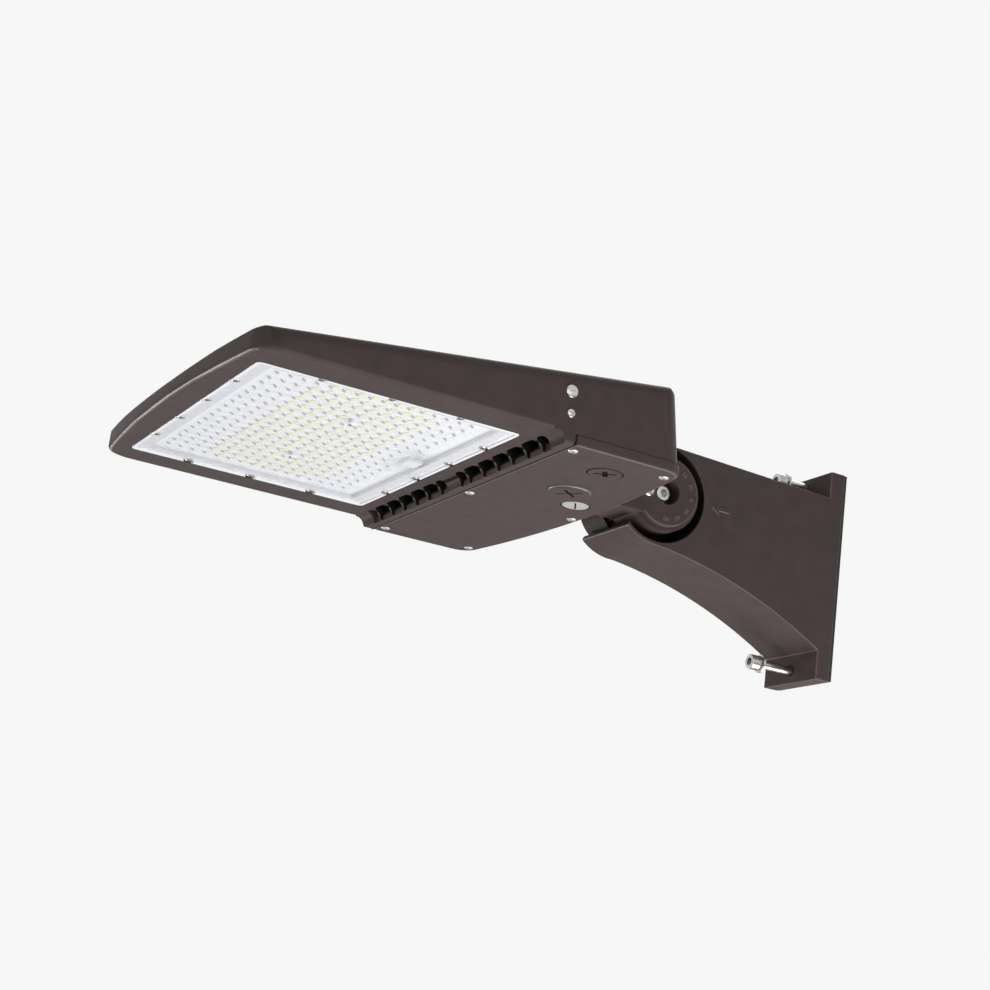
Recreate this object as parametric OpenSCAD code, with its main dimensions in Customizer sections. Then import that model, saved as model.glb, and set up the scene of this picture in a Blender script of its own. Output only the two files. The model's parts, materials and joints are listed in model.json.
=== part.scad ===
// Shoebox area light on an adjustable pole arm.
// Origin: centre of the face that meets the pole. +Y points into the pole,
// -Y towards the front of the head, +Z up. Millimetres.

/* [Pole mount] */
// Width of the pole plate and of the arm
plate_w = 75; // [70:1:80]
// Height of the pole plate
plate_h = 183; // [180:1:190]
// Depth of the cast pole plate
plate_t = 14; // [12:1:16]
// Thickness of the rubber gasket behind the plate
gasket_t = 2.5; // [2:0.5:3]
// Distance between the two mounting holes
bolt_gap = 164; // [160:1:166]
// Diameter of the mounting holes
bolt_hole_d = 9; // [8.8:0.1:10]
// How far the upper bolt's head stands from the plate
upper_bolt_out = 24; // [5:0.5:30]
// How far the lower bolt's head stands from the plate
lower_bolt_out = 34.5; // [5:0.5:38]

/* [Arm and pivot] */
// Distance from the plate's front face to the tilt pivot
arm_reach = 167.5; // [160:0.5:175]
// Height of the tilt pivot above the mount's centre
pivot_up = 29.5; // [25:0.5:35]
// Radius of the round pocket that the knuckle turns in
pocket_r = 40.5; // [40:0.5:42]
// Wall thickness of the arm casting
arm_wall = 4; // [3:0.5:5]
// Radius of the knuckle's dial disc
dial_r = 29; // [27:0.5:30]
// Distance of the dial's face from the centre plane
dial_x = 46.6; // [44:0.2:48]

/* [Head] */
// Overall width of the head
head_w = 360; // [350:2:370]
// Distance from the pivot to the front of the head
head_front = 419; // [410:1:425]
// Distance from the pivot to the rear edge of the driver cover
head_rear = 54; // [53:0.5:56]
// Height of the roof above the pivot at the rear
roof_rear = 36; // [32:1:38]
// Slope of the roof in degrees
roof_slope = 7.35; // [6:0.05:8]
// Thickness of the casting's outer walls
shell_t = 4; // [3:0.5:5]

/* [Optic] */
// Width of the lens opening
lens_w = 291.6; // [285:0.2:295]
// Length of the lens opening
lens_l = 209.2; // [205:0.2:212]
// Lens bumps along the length of the head
optic_cols = 16; // [12:1:16]
// Rows of bumps across the head
optic_rows = 17; // [11:2:17]
// Spacing of the rows across the head
row_gap = 15; // [14:0.5:15]
// Spacing of the bumps along the head
col_gap = 10.386; // [9:0.001:10.5]

/* [Hidden] */

$fn = 64;
eps = 0.01;

// ---- colours ----
bronze = "#4b413d";
bronze_light = "#574b47";
steel = "#c9c7c4";
rubber = "#161616";
clear = "#dfe4ea";
board_white = "#f2f2f0";
phosphor = "#e8d96a";
plastic_white = "#e6e6e2";
driver_grey = "#b9bcc0";

// ---- pivot and roof ----
pivot_y = -(arm_reach + plate_t + gasket_t);
bezel_z = -21.4;                 // underside of the housing, from the pivot
cover_z = -29.8;                 // underside of the driver cover
roof_rear_y = -94;               // where the roof's straight slope ends
tan_roof = tan(roof_slope);
nose_z = -7;                     // top edge of the front wall
half_w = head_w / 2;
bow_r = 1400;                    // plan radius of the bowed front edge
rear_bow_r = 1219;               // plan radius of the bowed rear edge
rear_corner_r = 16;              // plan radius of the two rear corners
rear_edge_r = 8;                 // rounding where the rear wall meets the roof
rear_edge_n = 5;                 // steps in that rounding
rear_lean = 9;                   // lean of the rear wall in degrees
rear_wall_y = -head_rear - 2 + bezel_z * tan(rear_lean);
wall_y = rear_wall_y + 1;        // flat pad on the rear wall, at the pivot's height
wall_pad = 8;                    // thickness of the wall behind the pad

// ---- optic ----
lens_front = -396.6;             // front edge of the lens opening
lens_rear = lens_front + lens_l;
recess_z = -14.4;                // seat of the LED board
base_top = -8;                   // top of the plate that carries the board
col_first = -372.05;             // first column of bumps
lens_z = -19.9;                  // underside of the lens plate
lens_t = 2.5;
board_t = 1.6;
chip_t = 0.8;
chip_w = 4.4;
lit_first = 3;                   // first and last columns with a chip below
lit_last = 12;
mid_col = 8;                     // the centre screws take these places
mid_row = 4;

// ---- vents and driver bay ----
ramp_y = -178;                   // where the underside starts to step down
ridge_y = -169.5;                // front of the ridge ahead of the cover
seam_y = -161.6;                 // rear of the ridge
cover_front = -160.9;
bay_front = -158;
vent_y0 = -177.5;
vent_y1 = -167.5;
flue_y1 = -163;                  // rear of the flue above the vents
flue_z = -23;
vent_rib = 3;
vent_pitch = 23.8;
vent_end = 12;                   // width of the short vents at each end
vent_x0 = 12;
vent_wide = 5;                   // full width vents in each half
fin_pitch = 12;
fin_t = 3;
fin_y0 = -392;
fin_y1 = -188;

// ---- fastener places, from the pivot ----
front_screw_x = [-90, -30, 30, 90];
side_screw_y = [-54.8, 0, 54.8];
lens_mid_y = (lens_front + lens_rear) / 2;
cover_screw_at = [[165, -154.5], [0, -155.5], [-165, -154.5], [162, -74], [0, -61], [-162, -74]];
wiring_port_at = [135.4, -109.6];
sensor_port_at = [73, -104.5];
breather_at = [38.7, -79.7];
side_plug_at = [-169.1, 9.1];
side_lock_at = [-167.7, -7.4];
driver_at = [-60, -112];
surge_at = [66, -135];
terminal_at = [139, -146];
gland_at = [-58, -4];

// ---- helpers ----
function arc(c, r, a0, a1, n) =
    [for (i = [0:n]) let (a = a0 + (a1 - a0) * i / n) [c[0] + r * cos(a), c[1] + r * sin(a)]];

// Points along a shallow bow between two points
function bow(p0, p1, sag, n) =
    let (d = p1 - p0, l = norm(d), m = [-d[1], d[0]] / l)
    [for (i = [0:n]) let (t = i / n) p0 + d * t + m * sag * 4 * t * (1 - t)];

// A rectangle with round corners
function round_box(x0, x1, y0, y1, r) = concat(
    arc([x1 - r, y1 - r], r, 0, 90, 4), arc([x0 + r, y1 - r], r, 90, 180, 4),
    arc([x0 + r, y0 + r], r, 180, 270, 4), arc([x1 - r, y0 + r], r, 270, 360, 4));

function roof_z(y) = roof_rear - (roof_rear_y - y) * tan_roof;

// Moves a shape from the pivot's own place to its place on the light
module at_pivot() {
    translate([0, pivot_y, pivot_up]) children();
}

// Extrudes a profile drawn in Y and Z along X, from x0 to x1
module along_x(x0, x1) {
    translate([x0, 0, 0]) rotate([90, 0, 90]) linear_extrude(x1 - x0) children();
}

// Extrudes a profile drawn in X and Z along Y, from y0 to y1
module along_y(y0, y1) {
    translate([0, y1, 0]) rotate([90, 0, 0]) linear_extrude(y1 - y0) children();
}

module box(x0, x1, y0, y1, z0, z1) {
    translate([x0, y0, z0]) cube([x1 - x0, y1 - y0, z1 - z0]);
}

module rod_x(x0, x1, r) {
    translate([x0, 0, 0]) rotate([0, 90, 0]) cylinder(h = x1 - x0, r = r);
}

module rod_y(y0, y1, r) {
    translate([0, y0, 0]) rotate([-90, 0, 0]) cylinder(h = y1 - y0, r = r);
}

// A pan head screw with a straight slot: shank up from z = 0, head below
module slot_screw(head_d, head_h, shank_d, length) {
    slot_w = head_d * 0.16;
    difference() {
        union() {
            cylinder(h = length, d = shank_d);
            translate([0, 0, -head_h]) cylinder(h = head_h, d1 = head_d * 0.8, d2 = head_d);
        }
        translate([-head_d, -slot_w / 2, -head_h - eps]) cube([2 * head_d, slot_w, head_h * 0.5]);
    }
}

// A socket head bolt: shank up from z = 0, head below
module socket_bolt(shank_d, length) {
    head_d = shank_d * 1.6;
    difference() {
        union() {
            cylinder(h = length, d = shank_d);
            translate([0, 0, -shank_d]) cylinder(h = shank_d, d = head_d);
        }
        translate([0, 0, -shank_d - eps]) cylinder(h = shank_d * 0.55, d = shank_d * 0.9, $fn = 6);
    }
}

module ring(od, id, t) {
    difference() {
        cylinder(h = t, d = od);
        translate([0, 0, -eps]) cylinder(h = t + 2 * eps, d = id);
    }
}

// ======== arm, plate and mounting bolts ========
arm_half = plate_w / 2;
lip_r = pocket_r + 3.5;
arm_top_front = lip_r - 1;
arm_top_rear = 37;
arm_foot = -97.7;                // underside of the arm where it meets the plate
web_sag = 8.7;
tongue_r = 36.2;
tongue_x = -3;                   // inner face of the tongue
lip_a = 229;                     // angle of the lip's tip round the pivot
cheek_y = 5.5;                   // where the near cheek's top edge begins

function arm_outline() = concat(
    arc([0, 0], lip_r, lip_a, 270, 10),
    bow([4, -lip_r - 0.2], [arm_reach, arm_foot], web_sag, 16),
    [[arm_reach, arm_top_rear], [0, arm_top_front]]);

// Hollow inside the arm, behind the pocket
function arm_hollow() = concat(
    bow([pocket_r + arm_wall, -lip_r - 4], [arm_reach + eps, arm_foot + arm_wall + 1],
        web_sag * 0.7, 12),
    [[arm_reach + eps, arm_top_rear - arm_wall],
        [pocket_r + arm_wall, arm_top_rear - arm_wall + 3]]);

plate_drop = 1.5;                // the plate's middle lies this far below the mount's centre
plate_z0 = -plate_h / 2 - plate_drop - pivot_up;
plate_z1 = plate_h / 2 - plate_drop - pivot_up;
window_w = 48;
window_z0 = -88;
window_z1 = 30;
bar_h = 26;
tooth_n = 36;
tooth_r0 = 25;
tooth_r1 = 33;
tooth_h = 2.6;

// A ring of radial teeth that stands on the plane x = 0 towards +X
module teeth() {
    for (i = [0:tooth_n - 1])
        rotate([i * 360 / tooth_n, 0, 0])
            translate([0, tooth_r0, -1.1]) cube([tooth_h, tooth_r1 - tooth_r0, 2.2]);
}

// The two wire windows in the plate, with a bar between them
module windows(y0, y1) {
    box(-window_w / 2, window_w / 2, y0, y1, window_z0, -pivot_up - bar_h / 2);
    box(-window_w / 2, window_w / 2, y0, y1, -pivot_up + bar_h / 2, window_z1);
}

module arrow_mark() {
    along_x(arm_half - eps, arm_half + 0.6)
        polygon([[50, 0], [56, 4], [56, 1.2], [66, 1.2], [66, -1.2], [56, -1.2], [56, -4]]);
}

module mounting_arm() {
    color(bronze) at_pivot() difference() {
        union() {
            difference() {
                along_x(-arm_half, arm_half) polygon(arm_outline());
                along_x(-arm_half + arm_wall, arm_half - arm_wall) polygon(arm_hollow());
                // round pocket, open at the near side and the front
                rod_x(tongue_x, arm_half + 1, pocket_r);
                box(tongue_x, arm_half + 1, -lip_r - 1, cheek_y, 0, lip_r + 1);
                // gap round the tongue on the far side
                difference() {
                    rod_x(-arm_half - 1, tongue_x + eps, pocket_r);
                    box(-arm_half - 2, tongue_x + 1, 0, lip_r, -tongue_r, lip_r);
                }
                box(-arm_half - 1, tongue_x + 1, -lip_r - 1, 0, 0, lip_r + 1);
            }
            rod_x(-arm_half, tongue_x, tongue_r);
            box(-arm_half, tongue_x, 0, pocket_r + 2, -tongue_r, tongue_r);
            translate([tongue_x - eps, 0, 0]) teeth();
            difference() {
                box(-arm_half, arm_half, arm_reach, arm_reach + plate_t, plate_z0, plate_z1);
                windows(arm_reach - 1, arm_reach + plate_t + 1);
            }
            arrow_mark();
        }
        rod_x(-arm_half - 1, 1, 4.5);
        translate([-arm_half - 1, 0, 0]) rod_x(0, 9, 11);
        for (s = [-1, 1])
            translate([0, 0, s * bolt_gap / 2 - pivot_up])
                rod_y(arm_reach - 1, arm_reach + plate_t + 1, bolt_hole_d / 2);
        // way for the wires from the pocket into the hollow
        translate([18, 0, 0]) rod_y(pocket_r - 4, pocket_r + arm_wall + 4, 8);
    }
}

module arm_wire_grommet() {
    color(rubber) at_pivot() translate([18, 0, 0]) difference() {
        union() {
            rod_y(pocket_r - 0.6, pocket_r + arm_wall + 2.6, 8);
            rod_y(pocket_r + arm_wall + 0.4, pocket_r + arm_wall + 2.6, 10);
        }
        rod_y(pocket_r - 6, pocket_r + arm_wall + 9, 5);
    }
}

module pole_gasket() {
    inset = 0.6;
    color(rubber) translate([0, -gasket_t, 0]) difference() {
        translate([0, 0, pivot_up])
            box(-arm_half + inset, arm_half - inset, 0, gasket_t, plate_z0 + inset, plate_z1 - inset);
        translate([0, 0, pivot_up]) windows(-1, gasket_t + 1);
        for (s = [-1, 1])
            translate([0, 0, s * bolt_gap / 2]) rod_y(-1, gasket_t + 1, bolt_hole_d / 2);
    }
}

bolt_l = 60;
washer_t = 1.6;
spring_washer_t = 2;

// Places a bolt whose head stands this far from the plate
module at_bolt(z, stand_out) {
    translate([0, -plate_t - gasket_t - stand_out, z]) rotate([-90, 0, 0]) children();
}

module mount_bolt(z, stand_out) {
    color(steel) at_bolt(z, stand_out) socket_bolt(8, bolt_l);
}

module mount_washer(z, stand_out) {
    color(steel) at_bolt(z, stand_out) {
        ring(12.5, 8, spring_washer_t);
        translate([0, 0, spring_washer_t]) ring(16, 8, washer_t);
    }
}

module upper_mount_bolt() { mount_bolt(bolt_gap / 2, upper_bolt_out); }
module upper_mount_washer() { mount_washer(bolt_gap / 2, upper_bolt_out); }
module lower_mount_bolt() { mount_bolt(-bolt_gap / 2, lower_bolt_out); }
module lower_mount_washer() { mount_washer(-bolt_gap / 2, lower_bolt_out); }

// ======== pivot ========
pivot_seat = 30.2;               // floor of the bolt's counterbore
nut_seat = -arm_half + 8;
side_play = 0.1;                 // sideways play of the knuckle
pivot_len = pivot_seat + washer_t - nut_seat + 8;

module pivot_bolt() {
    color(steel) at_pivot() translate([pivot_seat + side_play + washer_t, 0, 0])
        rotate([0, -90, 0]) socket_bolt(8, pivot_len);
}

module pivot_washer() {
    color(steel) at_pivot() translate([pivot_seat + side_play, 0, 0])
        rotate([0, 90, 0]) ring(16, 8, washer_t);
}

// Thrust washer between the tongue and the knuckle
module pivot_spacer() {
    color(steel) at_pivot() translate([tongue_x, 0, 0])
        rotate([0, 90, 0]) ring(30, 8.2, knuckle_x - tongue_x - 0.3);
}

module pivot_nut_washer() {
    color(steel) at_pivot() translate([nut_seat - washer_t, 0, 0])
        rotate([0, 90, 0]) ring(16, 8, washer_t);
}

module pivot_nut() {
    nut_h = 6.5;
    color(steel) at_pivot() translate([nut_seat - washer_t - nut_h, 0, 0]) rotate([0, 90, 0])
        difference() {
            cylinder(h = nut_h, d = 14.8, $fn = 6);
            translate([0, 0, -eps]) cylinder(h = nut_h + 2 * eps, d = 8);
        }
}

// ======== knuckle ========
knuckle_x = 3;                   // inner face of the knuckle
rim = 3.5;                       // how far the knuckle's drum stands out round the dial
rim_x = dial_x - 5;
neck_z0 = -21.5;
neck_z1 = 9;
neck_y = -51;
flange_x0 = -24;
flange_t = 8;
flange_z0 = -19;
flange_z1 = 26;
flange_gasket_t = 1.5;
dial_screw_at = [-19, -3];
knuckle_screw_at = [[-14, 19], [12, 19], [38, 19], [-14, -11]];

// Outline of a round drum with the neck that joins it to the head
module knuckle_outline(r) {
    circle(r = r);
    translate([neck_y, neck_z0]) square([-neck_y, neck_z1 - neck_z0]);
}

module knuckle() {
    color(bronze) at_pivot() difference() {
        union() {
            along_x(rim_x - eps, dial_x) knuckle_outline(dial_r);
            along_x(knuckle_x, rim_x) knuckle_outline(dial_r + rim);
            on_rear() box(flange_x0, dial_x, flange_gasket_t, flange_gasket_t + flange_t,
                flange_z0, flange_z1);
            translate([knuckle_x + eps, 0, 0]) rotate([0, 0, 180]) teeth();
            box(dial_x - eps, dial_x + 0.5, dial_r - 4.5, dial_r - 1.2, -0.4, 0.4);
        }
        rod_x(-1, dial_x + 1, 4.05);
        rod_x(pivot_seat, dial_x + 1, 11);
        translate([0, dial_screw_at[0], dial_screw_at[1]]) rod_x(dial_x - 13, dial_x + 1, 2.5);
        for (p = knuckle_screw_at)
            on_rear() translate([p[0], 0, p[1]]) rod_y(0, flange_t + 2, 2.6);
    }
}

module dial_screw() {
    color(steel) at_pivot() translate([dial_x, dial_screw_at[0], dial_screw_at[1]])
        rotate([0, -90, 0]) slot_screw(11, 3.4, 5, 12);
}

module knuckle_gasket() {
    color(rubber) at_pivot() difference() {
        on_rear() box(flange_x0, dial_x, 0, flange_gasket_t, flange_z0, flange_z1);
        for (p = knuckle_screw_at)
            on_rear() translate([p[0], 0, p[1]]) rod_y(-1, 3, 2.6);
    }
}

// Screws from inside the driver bay into the knuckle's flange
module knuckle_screws() {
    color(steel) at_pivot() for (p = knuckle_screw_at)
        on_rear() translate([p[0], -wall_pad, p[1]])
            rotate([-90, 0, 0]) slot_screw(9, 3, 5.2, wall_pad + 9);
}

// ======== housing ========
gland_pad_r = 15;
boss_r = 7;
recess_ledge = 9;
ledge_z = lens_z + lens_t + 1.2; // seat of the lens gasket
groove_w = fin_pitch - fin_t;
groove_n = 29;
groove_x0 = -(groove_n * fin_pitch - fin_t) / 2;
vent_full = vent_pitch - vent_rib;
corner_r = 20;
edge_r = 3;
driver_pad_z = 17;

// Outline with a bowed end at -y and sides that run back to y = back
function bowed(hw, end, r, rc, back) =
    let (cy = end + r, a = asin((hw - rc) / (r - rc)), yc = cy - (r - rc) * cos(a))
    concat(arc([-hw + rc, yc], rc, 180, 270 - a, 6), arc([0, cy], r, 270 - a, 270 + a, 24),
           arc([hw - rc, yc], rc, -90 + a, 0, 6), [[hw, back], [-hw, back]]);

module front_plan(inset) {
    polygon(bowed(half_w - inset, -head_front + inset, bow_r, corner_r, -20));
}

// Places a shape on the flat pad of the rear wall: +Y out of the wall
module on_rear() {
    translate([0, wall_y, 0]) rotate([rear_lean, 0, 0]) children();
}

// The leaning, bowed rear end of the head, set in by a margin
module rear_prism(inset) {
    translate([0, rear_wall_y, 0]) rotate([rear_lean, 0, 0]) translate([0, 0, -80]) linear_extrude(200)
        mirror([0, 1]) polygon(bowed(half_w - inset, inset, rear_bow_r, rear_corner_r, 500));
}

// Leaning slices that round the edge between the rear wall and the roof
module rear_edge() {
    rear_n = [cos(rear_lean), sin(rear_lean)];
    roof_n = [-sin(roof_slope), cos(roof_slope)];
    lean = tan(rear_lean);
    z = (roof_rear + (rear_wall_y - roof_rear_y) * tan_roof) / (1 + lean * tan_roof);
    corner = [rear_wall_y - z * lean, z];
    centre = corner - rear_edge_r * (rear_n + roof_n) / (1 + rear_n * roof_n);
    intersection_for (k = [1:rear_edge_n - 1]) {
        a = rear_lean + k * (90 + roof_slope - rear_lean) / rear_edge_n;
        flat = cos(a - roof_slope);
        translate([0, centre[0], centre[1]]) rotate([a, 0, 0]) translate([0, 0, -100])
            linear_extrude(600) polygon([for (p = bowed(half_w, 0, rear_bow_r, rear_corner_r, 500))
                [p[0], rear_edge_r - p[1] * flat]]);
    }
}

// Everything below the sloping roof, set in by a margin, with round shoulders
module roof_prism(inset) {
    hw = half_w - inset;
    r = 10;
    translate([0, roof_rear_y, roof_rear - inset]) rotate([roof_slope, 0, 0])
        along_y(-400, 120) polygon(concat([[-hw, -140], [hw, -140]],
            arc([hw - r, -r], r, 0, 90, 6), arc([-hw + r, -r], r, 90, 180, 6)));
}

module head_envelope() {
    intersection() {
        union() {
            hull() {
                translate([0, 0, bezel_z]) linear_extrude(1) front_plan(edge_r);
                translate([0, 0, bezel_z + 0.9]) linear_extrude(1) front_plan(edge_r * 0.3);
                translate([0, 0, bezel_z + edge_r]) linear_extrude(90) front_plan(0);
            }
            // square bottom edge where the driver cover closes against the wall
            box(-half_w, half_w, seam_y, -20, bezel_z, bezel_z + edge_r + 1);
        }
        rear_prism(0);
        rear_edge();
        roof_prism(0);
        // softened top edge of the nose
        along_x(-half_w - 1, half_w + 1) polygon([[-head_front - 1, bezel_z - 1],
            [-head_front - 1, nose_z - 4], [-head_front + 4, nose_z - 1],
            [-head_front + 18, nose_z + 3], [-head_front + 40, nose_z + 90],
            [0, nose_z + 90], [0, bezel_z - 1]]);
    }
}

// Ridge ahead of the driver cover, with its coved front and round lower corners
module ridge() {
    cove_r = bezel_z - cover_z;
    intersection() {
        along_x(-half_w, half_w) polygon(concat(
            [[ramp_y, bezel_z + edge_r]], arc([ramp_y, cover_z], cove_r, 90, 4, 8),
            [[ridge_y, cover_z], [seam_y, cover_z], [seam_y, bezel_z + edge_r]]));
        along_y(ramp_y - 1, seam_y + 1)
            polygon(round_box(-half_w, half_w, cover_z, bezel_z + 2 * edge_r, edge_r));
    }
}

module driver_bay() {
    top = shell_t + 0.5;
    intersection() {
        along_x(-half_w + shell_t, half_w - shell_t) polygon([[bay_front, bezel_z - 1],
            [-40, bezel_z - 1], [-40, roof_z(-40) - top], [bay_front, roof_z(bay_front) - top]]);
        rear_prism(shell_t);
        roof_prism(shell_t);
    }
}

module vents() {
    for (s = [-1, 1]) {
        w0 = vent_x0;
        vent(s, w0, vent_end);
        for (i = [0:vent_wide - 1])
            vent(s, w0 + vent_end + vent_rib + i * vent_pitch, vent_full);
        vent(s, w0 + vent_end + vent_rib + vent_wide * vent_pitch, vent_end);
    }
}

// One vent right through the casting, on side s of the middle
module vent(s, x, w) {
    x0 = s > 0 ? x : -x - w;
    r = 4.5;
    top = roof_rear + 10;
    box(x0, x0 + w, vent_y0 + r, vent_y1, cover_z - 1, top);
    box(x0 + r, x0 + w - r, vent_y0, vent_y0 + r + eps, cover_z - 1, top);
    for (x = [x0 + r, x0 + w - r])
        translate([x, vent_y0 + r, cover_z - 1]) cylinder(h = top - cover_z + 1, r = r);
    box(x0, x0 + w, vent_y1 - eps, flue_y1, flue_z, top);
}

module lens_outline(inset) {
    w = lens_w / 2 - inset;
    polygon(round_box(-w, w, lens_front + inset, lens_rear - inset, 5));
}

lens_screw_in = 4.6;
lens_screw_at = concat(
    [for (x = front_screw_x) [x, lens_front + lens_screw_in]],
    [for (x = front_screw_x) [x, lens_rear - lens_screw_in]],
    [for (y = side_screw_y) [lens_w / 2 - lens_screw_in, lens_mid_y + y]],
    [for (y = side_screw_y) [-lens_w / 2 + lens_screw_in, lens_mid_y + y]]);
mid_screw_y = col_first + mid_col * col_gap;
mid_screw_x = mid_row * row_gap;
lead_z = -11.7;                  // height at which the board's wires run
lead_r = 0.9;
lead_way = 4;
lead_y0 = lens_rear - recess_ledge - 6;
lead_z0 = -13.8;
lead_z1 = -9.6;

// Flat pads on the rear wall for the knuckle and the cable gland
module rear_pads(depth) {
    on_rear() {
        box(flange_x0 - 2, dial_x + 2, -depth, 0, flange_z0 - 1, flange_z1 + 2);
        translate([gland_at[0], 0, gland_at[1]]) rod_y(-depth, 0, gland_pad_r);
    }
}

module screw_holes(list, r, z0, depth) {
    for (p = list)
        translate([p[0], p[1], z0]) cylinder(h = depth, r = r, $fn = 24);
}

driver_size = [160, 66, 34];
driver_screw_at = [for (s = [-1, 1]) for (t = [-1, 1])
    [driver_at[0] + s * (driver_size[0] / 2 + 5), driver_at[1] + t * 20]];
surge_size = [50, 30, 26];
surge_screw_at = [for (s = [-1, 1]) [surge_at[0] + s * (surge_size[0] / 2 + 5), surge_at[1]]];
terminal_size = [34, 22, 20];
terminal_screw_at = [for (s = [-1, 1]) [terminal_at[0] + s * 10, terminal_at[1] + 6]];

module housing() {
    color(bronze) at_pivot() difference() {
        union() {
            difference() {
                union() {
                    head_envelope();
                    ridge();
                    rear_pads(12);
                }
                driver_bay();
                // lens seat and board pocket
                translate([0, 0, bezel_z - 1]) linear_extrude(ledge_z - bezel_z + 1) lens_outline(0);
                translate([0, 0, bezel_z - 1])
                    linear_extrude(recess_z - bezel_z + 1) lens_outline(recess_ledge);
                // cooling fins on the roof
                for (i = [0:groove_n - 1])
                    translate([groove_x0 + i * fin_pitch, 0, 0])
                        box(0, groove_w, fin_y0, fin_y1, base_top, 60);
                vents();
                box(-lead_way, lead_way, lead_y0, lens_rear - recess_ledge - 0.5, recess_z - 1, lead_z1);
            }
            // bosses inside the bay
            intersection() {
                union() {
                    screw_holes(cover_screw_at, boss_r, bezel_z, 60);
                    screw_holes(driver_screw_at, 5, driver_pad_z, 40);
                    screw_holes(surge_screw_at, 5, driver_pad_z, 40);
                    screw_holes(terminal_screw_at, 4, driver_pad_z, 40);
                    rear_pads(wall_pad);
                }
                head_envelope();
            }
        }
        // way for the board's lead, past the middle boss into the bay
        box(-lead_way, lead_way, lead_y0, cover_screw_at[1][1] + boss_r + 1, lead_z0, lead_z1);
        screw_holes(cover_screw_at, 2.1, bezel_z - 1, 18);
        screw_holes(lens_screw_at, 1.6, ledge_z - 1, 6);
        screw_holes([[mid_screw_x, mid_screw_y], [-mid_screw_x, mid_screw_y]], 1.6, recess_z - 1, 5);
        screw_holes(driver_screw_at, 1.7, driver_pad_z - 1, 9);
        screw_holes(surge_screw_at, 1.7, driver_pad_z - 1, 7);
        screw_holes(terminal_screw_at, 1.4, driver_pad_z - 1, 6);
        for (p = knuckle_screw_at)
            on_rear() translate([p[0], 0, p[1]]) rod_y(-20, 1, 2.7);
        on_rear() translate([gland_at[0], 0, gland_at[1]]) rod_y(-20, 1, 8);
        for (s = [-1, 1]) {
            translate([s * half_w, side_plug_at[0], side_plug_at[1]]) rod_x(-10, 10, 2.5);
            translate([s * half_w, side_lock_at[0], side_lock_at[1]]) rod_x(-8, 8, 1.5);
        }
    }
}

module side_screws(at, head_d, head_h, shank_d, length) {
    color(steel) at_pivot() for (s = [-1, 1])
        translate([s * half_w, at[0], at[1]])
            rotate([0, -s * 90, 0]) slot_screw(head_d, head_h, shank_d, length);
}

module side_plug_screws() { side_screws(side_plug_at, 9.6, 1.8, 5, 9); }
module side_lock_screws() { side_screws(side_lock_at, 6.3, 1.4, 3, 7); }

// ======== optic ========
bulge = [52, 28];
bulge_y = -207.5;
bulge_h = 1.3;

function in_bulge(x, y) = abs(x) < bulge[0] / 2 + 3 && y > bulge_y - bulge[1] / 2 - 4;
function at_mid(i, j) = i == mid_col && abs(j) == mid_row;
half_rows = (optic_rows - 1) / 2;
bump_at = [for (i = [0:optic_cols - 1]) for (j = [-half_rows:half_rows])
    let (x = j * row_gap, y = col_first + i * col_gap)
    if (!at_mid(i, j) && !in_bulge(x, y)) [x, y]];
chip_at = [for (i = [lit_first:lit_last]) for (j = [-half_rows:half_rows])
    if (!at_mid(i, j) && !(abs(j) == half_rows && (i == lit_first || i == lit_last)))
        [j * row_gap, col_first + i * col_gap]];

module lens_panel() {
    fit_gap = 0.4;
    rail = 2;
    rail_h = 1;
    color(clear, 0.5) at_pivot() difference() {
        union() {
            translate([0, 0, lens_z]) linear_extrude(lens_t) lens_outline(fit_gap);
            for (p = bump_at)
                translate([p[0], p[1], lens_z - 1]) cylinder(h = 1 + eps, r1 = 2, r2 = 3.6, $fn = 16);
            translate([0, 0, lens_z - rail_h]) linear_extrude(rail_h + eps) difference() {
                lens_outline(fit_gap + 0.4);
                lens_outline(fit_gap + 0.4 + rail);
            }
            box(-bulge[0] / 2, bulge[0] / 2, bulge_y - bulge[1] / 2, bulge_y + bulge[1] / 2,
                lens_z - bulge_h, lens_z + eps);
        }
        for (p = lens_screw_at)
            translate([p[0], p[1], lens_z - 3]) cylinder(h = 3 + eps, r = 5);
        screw_holes(lens_screw_at, 1.7, lens_z - 1, 5);
        screw_holes([[mid_screw_x, mid_screw_y], [-mid_screw_x, mid_screw_y]], 1.7, lens_z - 1, 5);
        box(-bulge[0] / 2 + 1.5, bulge[0] / 2 - 1.5, bulge_y - bulge[1] / 2 + 1.5, bulge_y + 10,
            lens_z - 0.2, lens_z + lens_t + 1);
    }
}

module lens_gasket() {
    color(rubber) at_pivot() difference() {
        translate([0, 0, lens_z + lens_t]) linear_extrude(ledge_z - lens_z - lens_t) difference() {
            lens_outline(0.8);
            lens_outline(recess_ledge - 0.4);
        }
        screw_holes(lens_screw_at, 1.7, lens_z + lens_t - 1, 4);
    }
}

module lens_screws() {
    color(steel) at_pivot() for (p = lens_screw_at)
        translate([p[0], p[1], lens_z]) slot_screw(6.4, 1.4, 3.2, 7.5);
}

module lens_center_screws() {
    color(steel) at_pivot() for (s = [-1, 1])
        translate([s * mid_screw_x, mid_screw_y, lens_z]) slot_screw(6.4, 1.4, 3.2, 8.5);
}

module led_board() {
    color(board_white) at_pivot() difference() {
        translate([0, 0, recess_z - board_t]) linear_extrude(board_t) lens_outline(recess_ledge + 0.5);
        screw_holes([[mid_screw_x, mid_screw_y], [-mid_screw_x, mid_screw_y]], 1.8, recess_z - 3, 4);
        box(-3, 3, lens_rear - recess_ledge - 6, lens_rear, recess_z - 3, recess_z + 1);
    }
}

module led_chips() {
    color(phosphor) at_pivot() for (p = chip_at)
        translate([p[0] - chip_w / 2, p[1] - chip_w / 2, recess_z - board_t - chip_t])
            cube([chip_w, chip_w, chip_t]);
}

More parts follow.
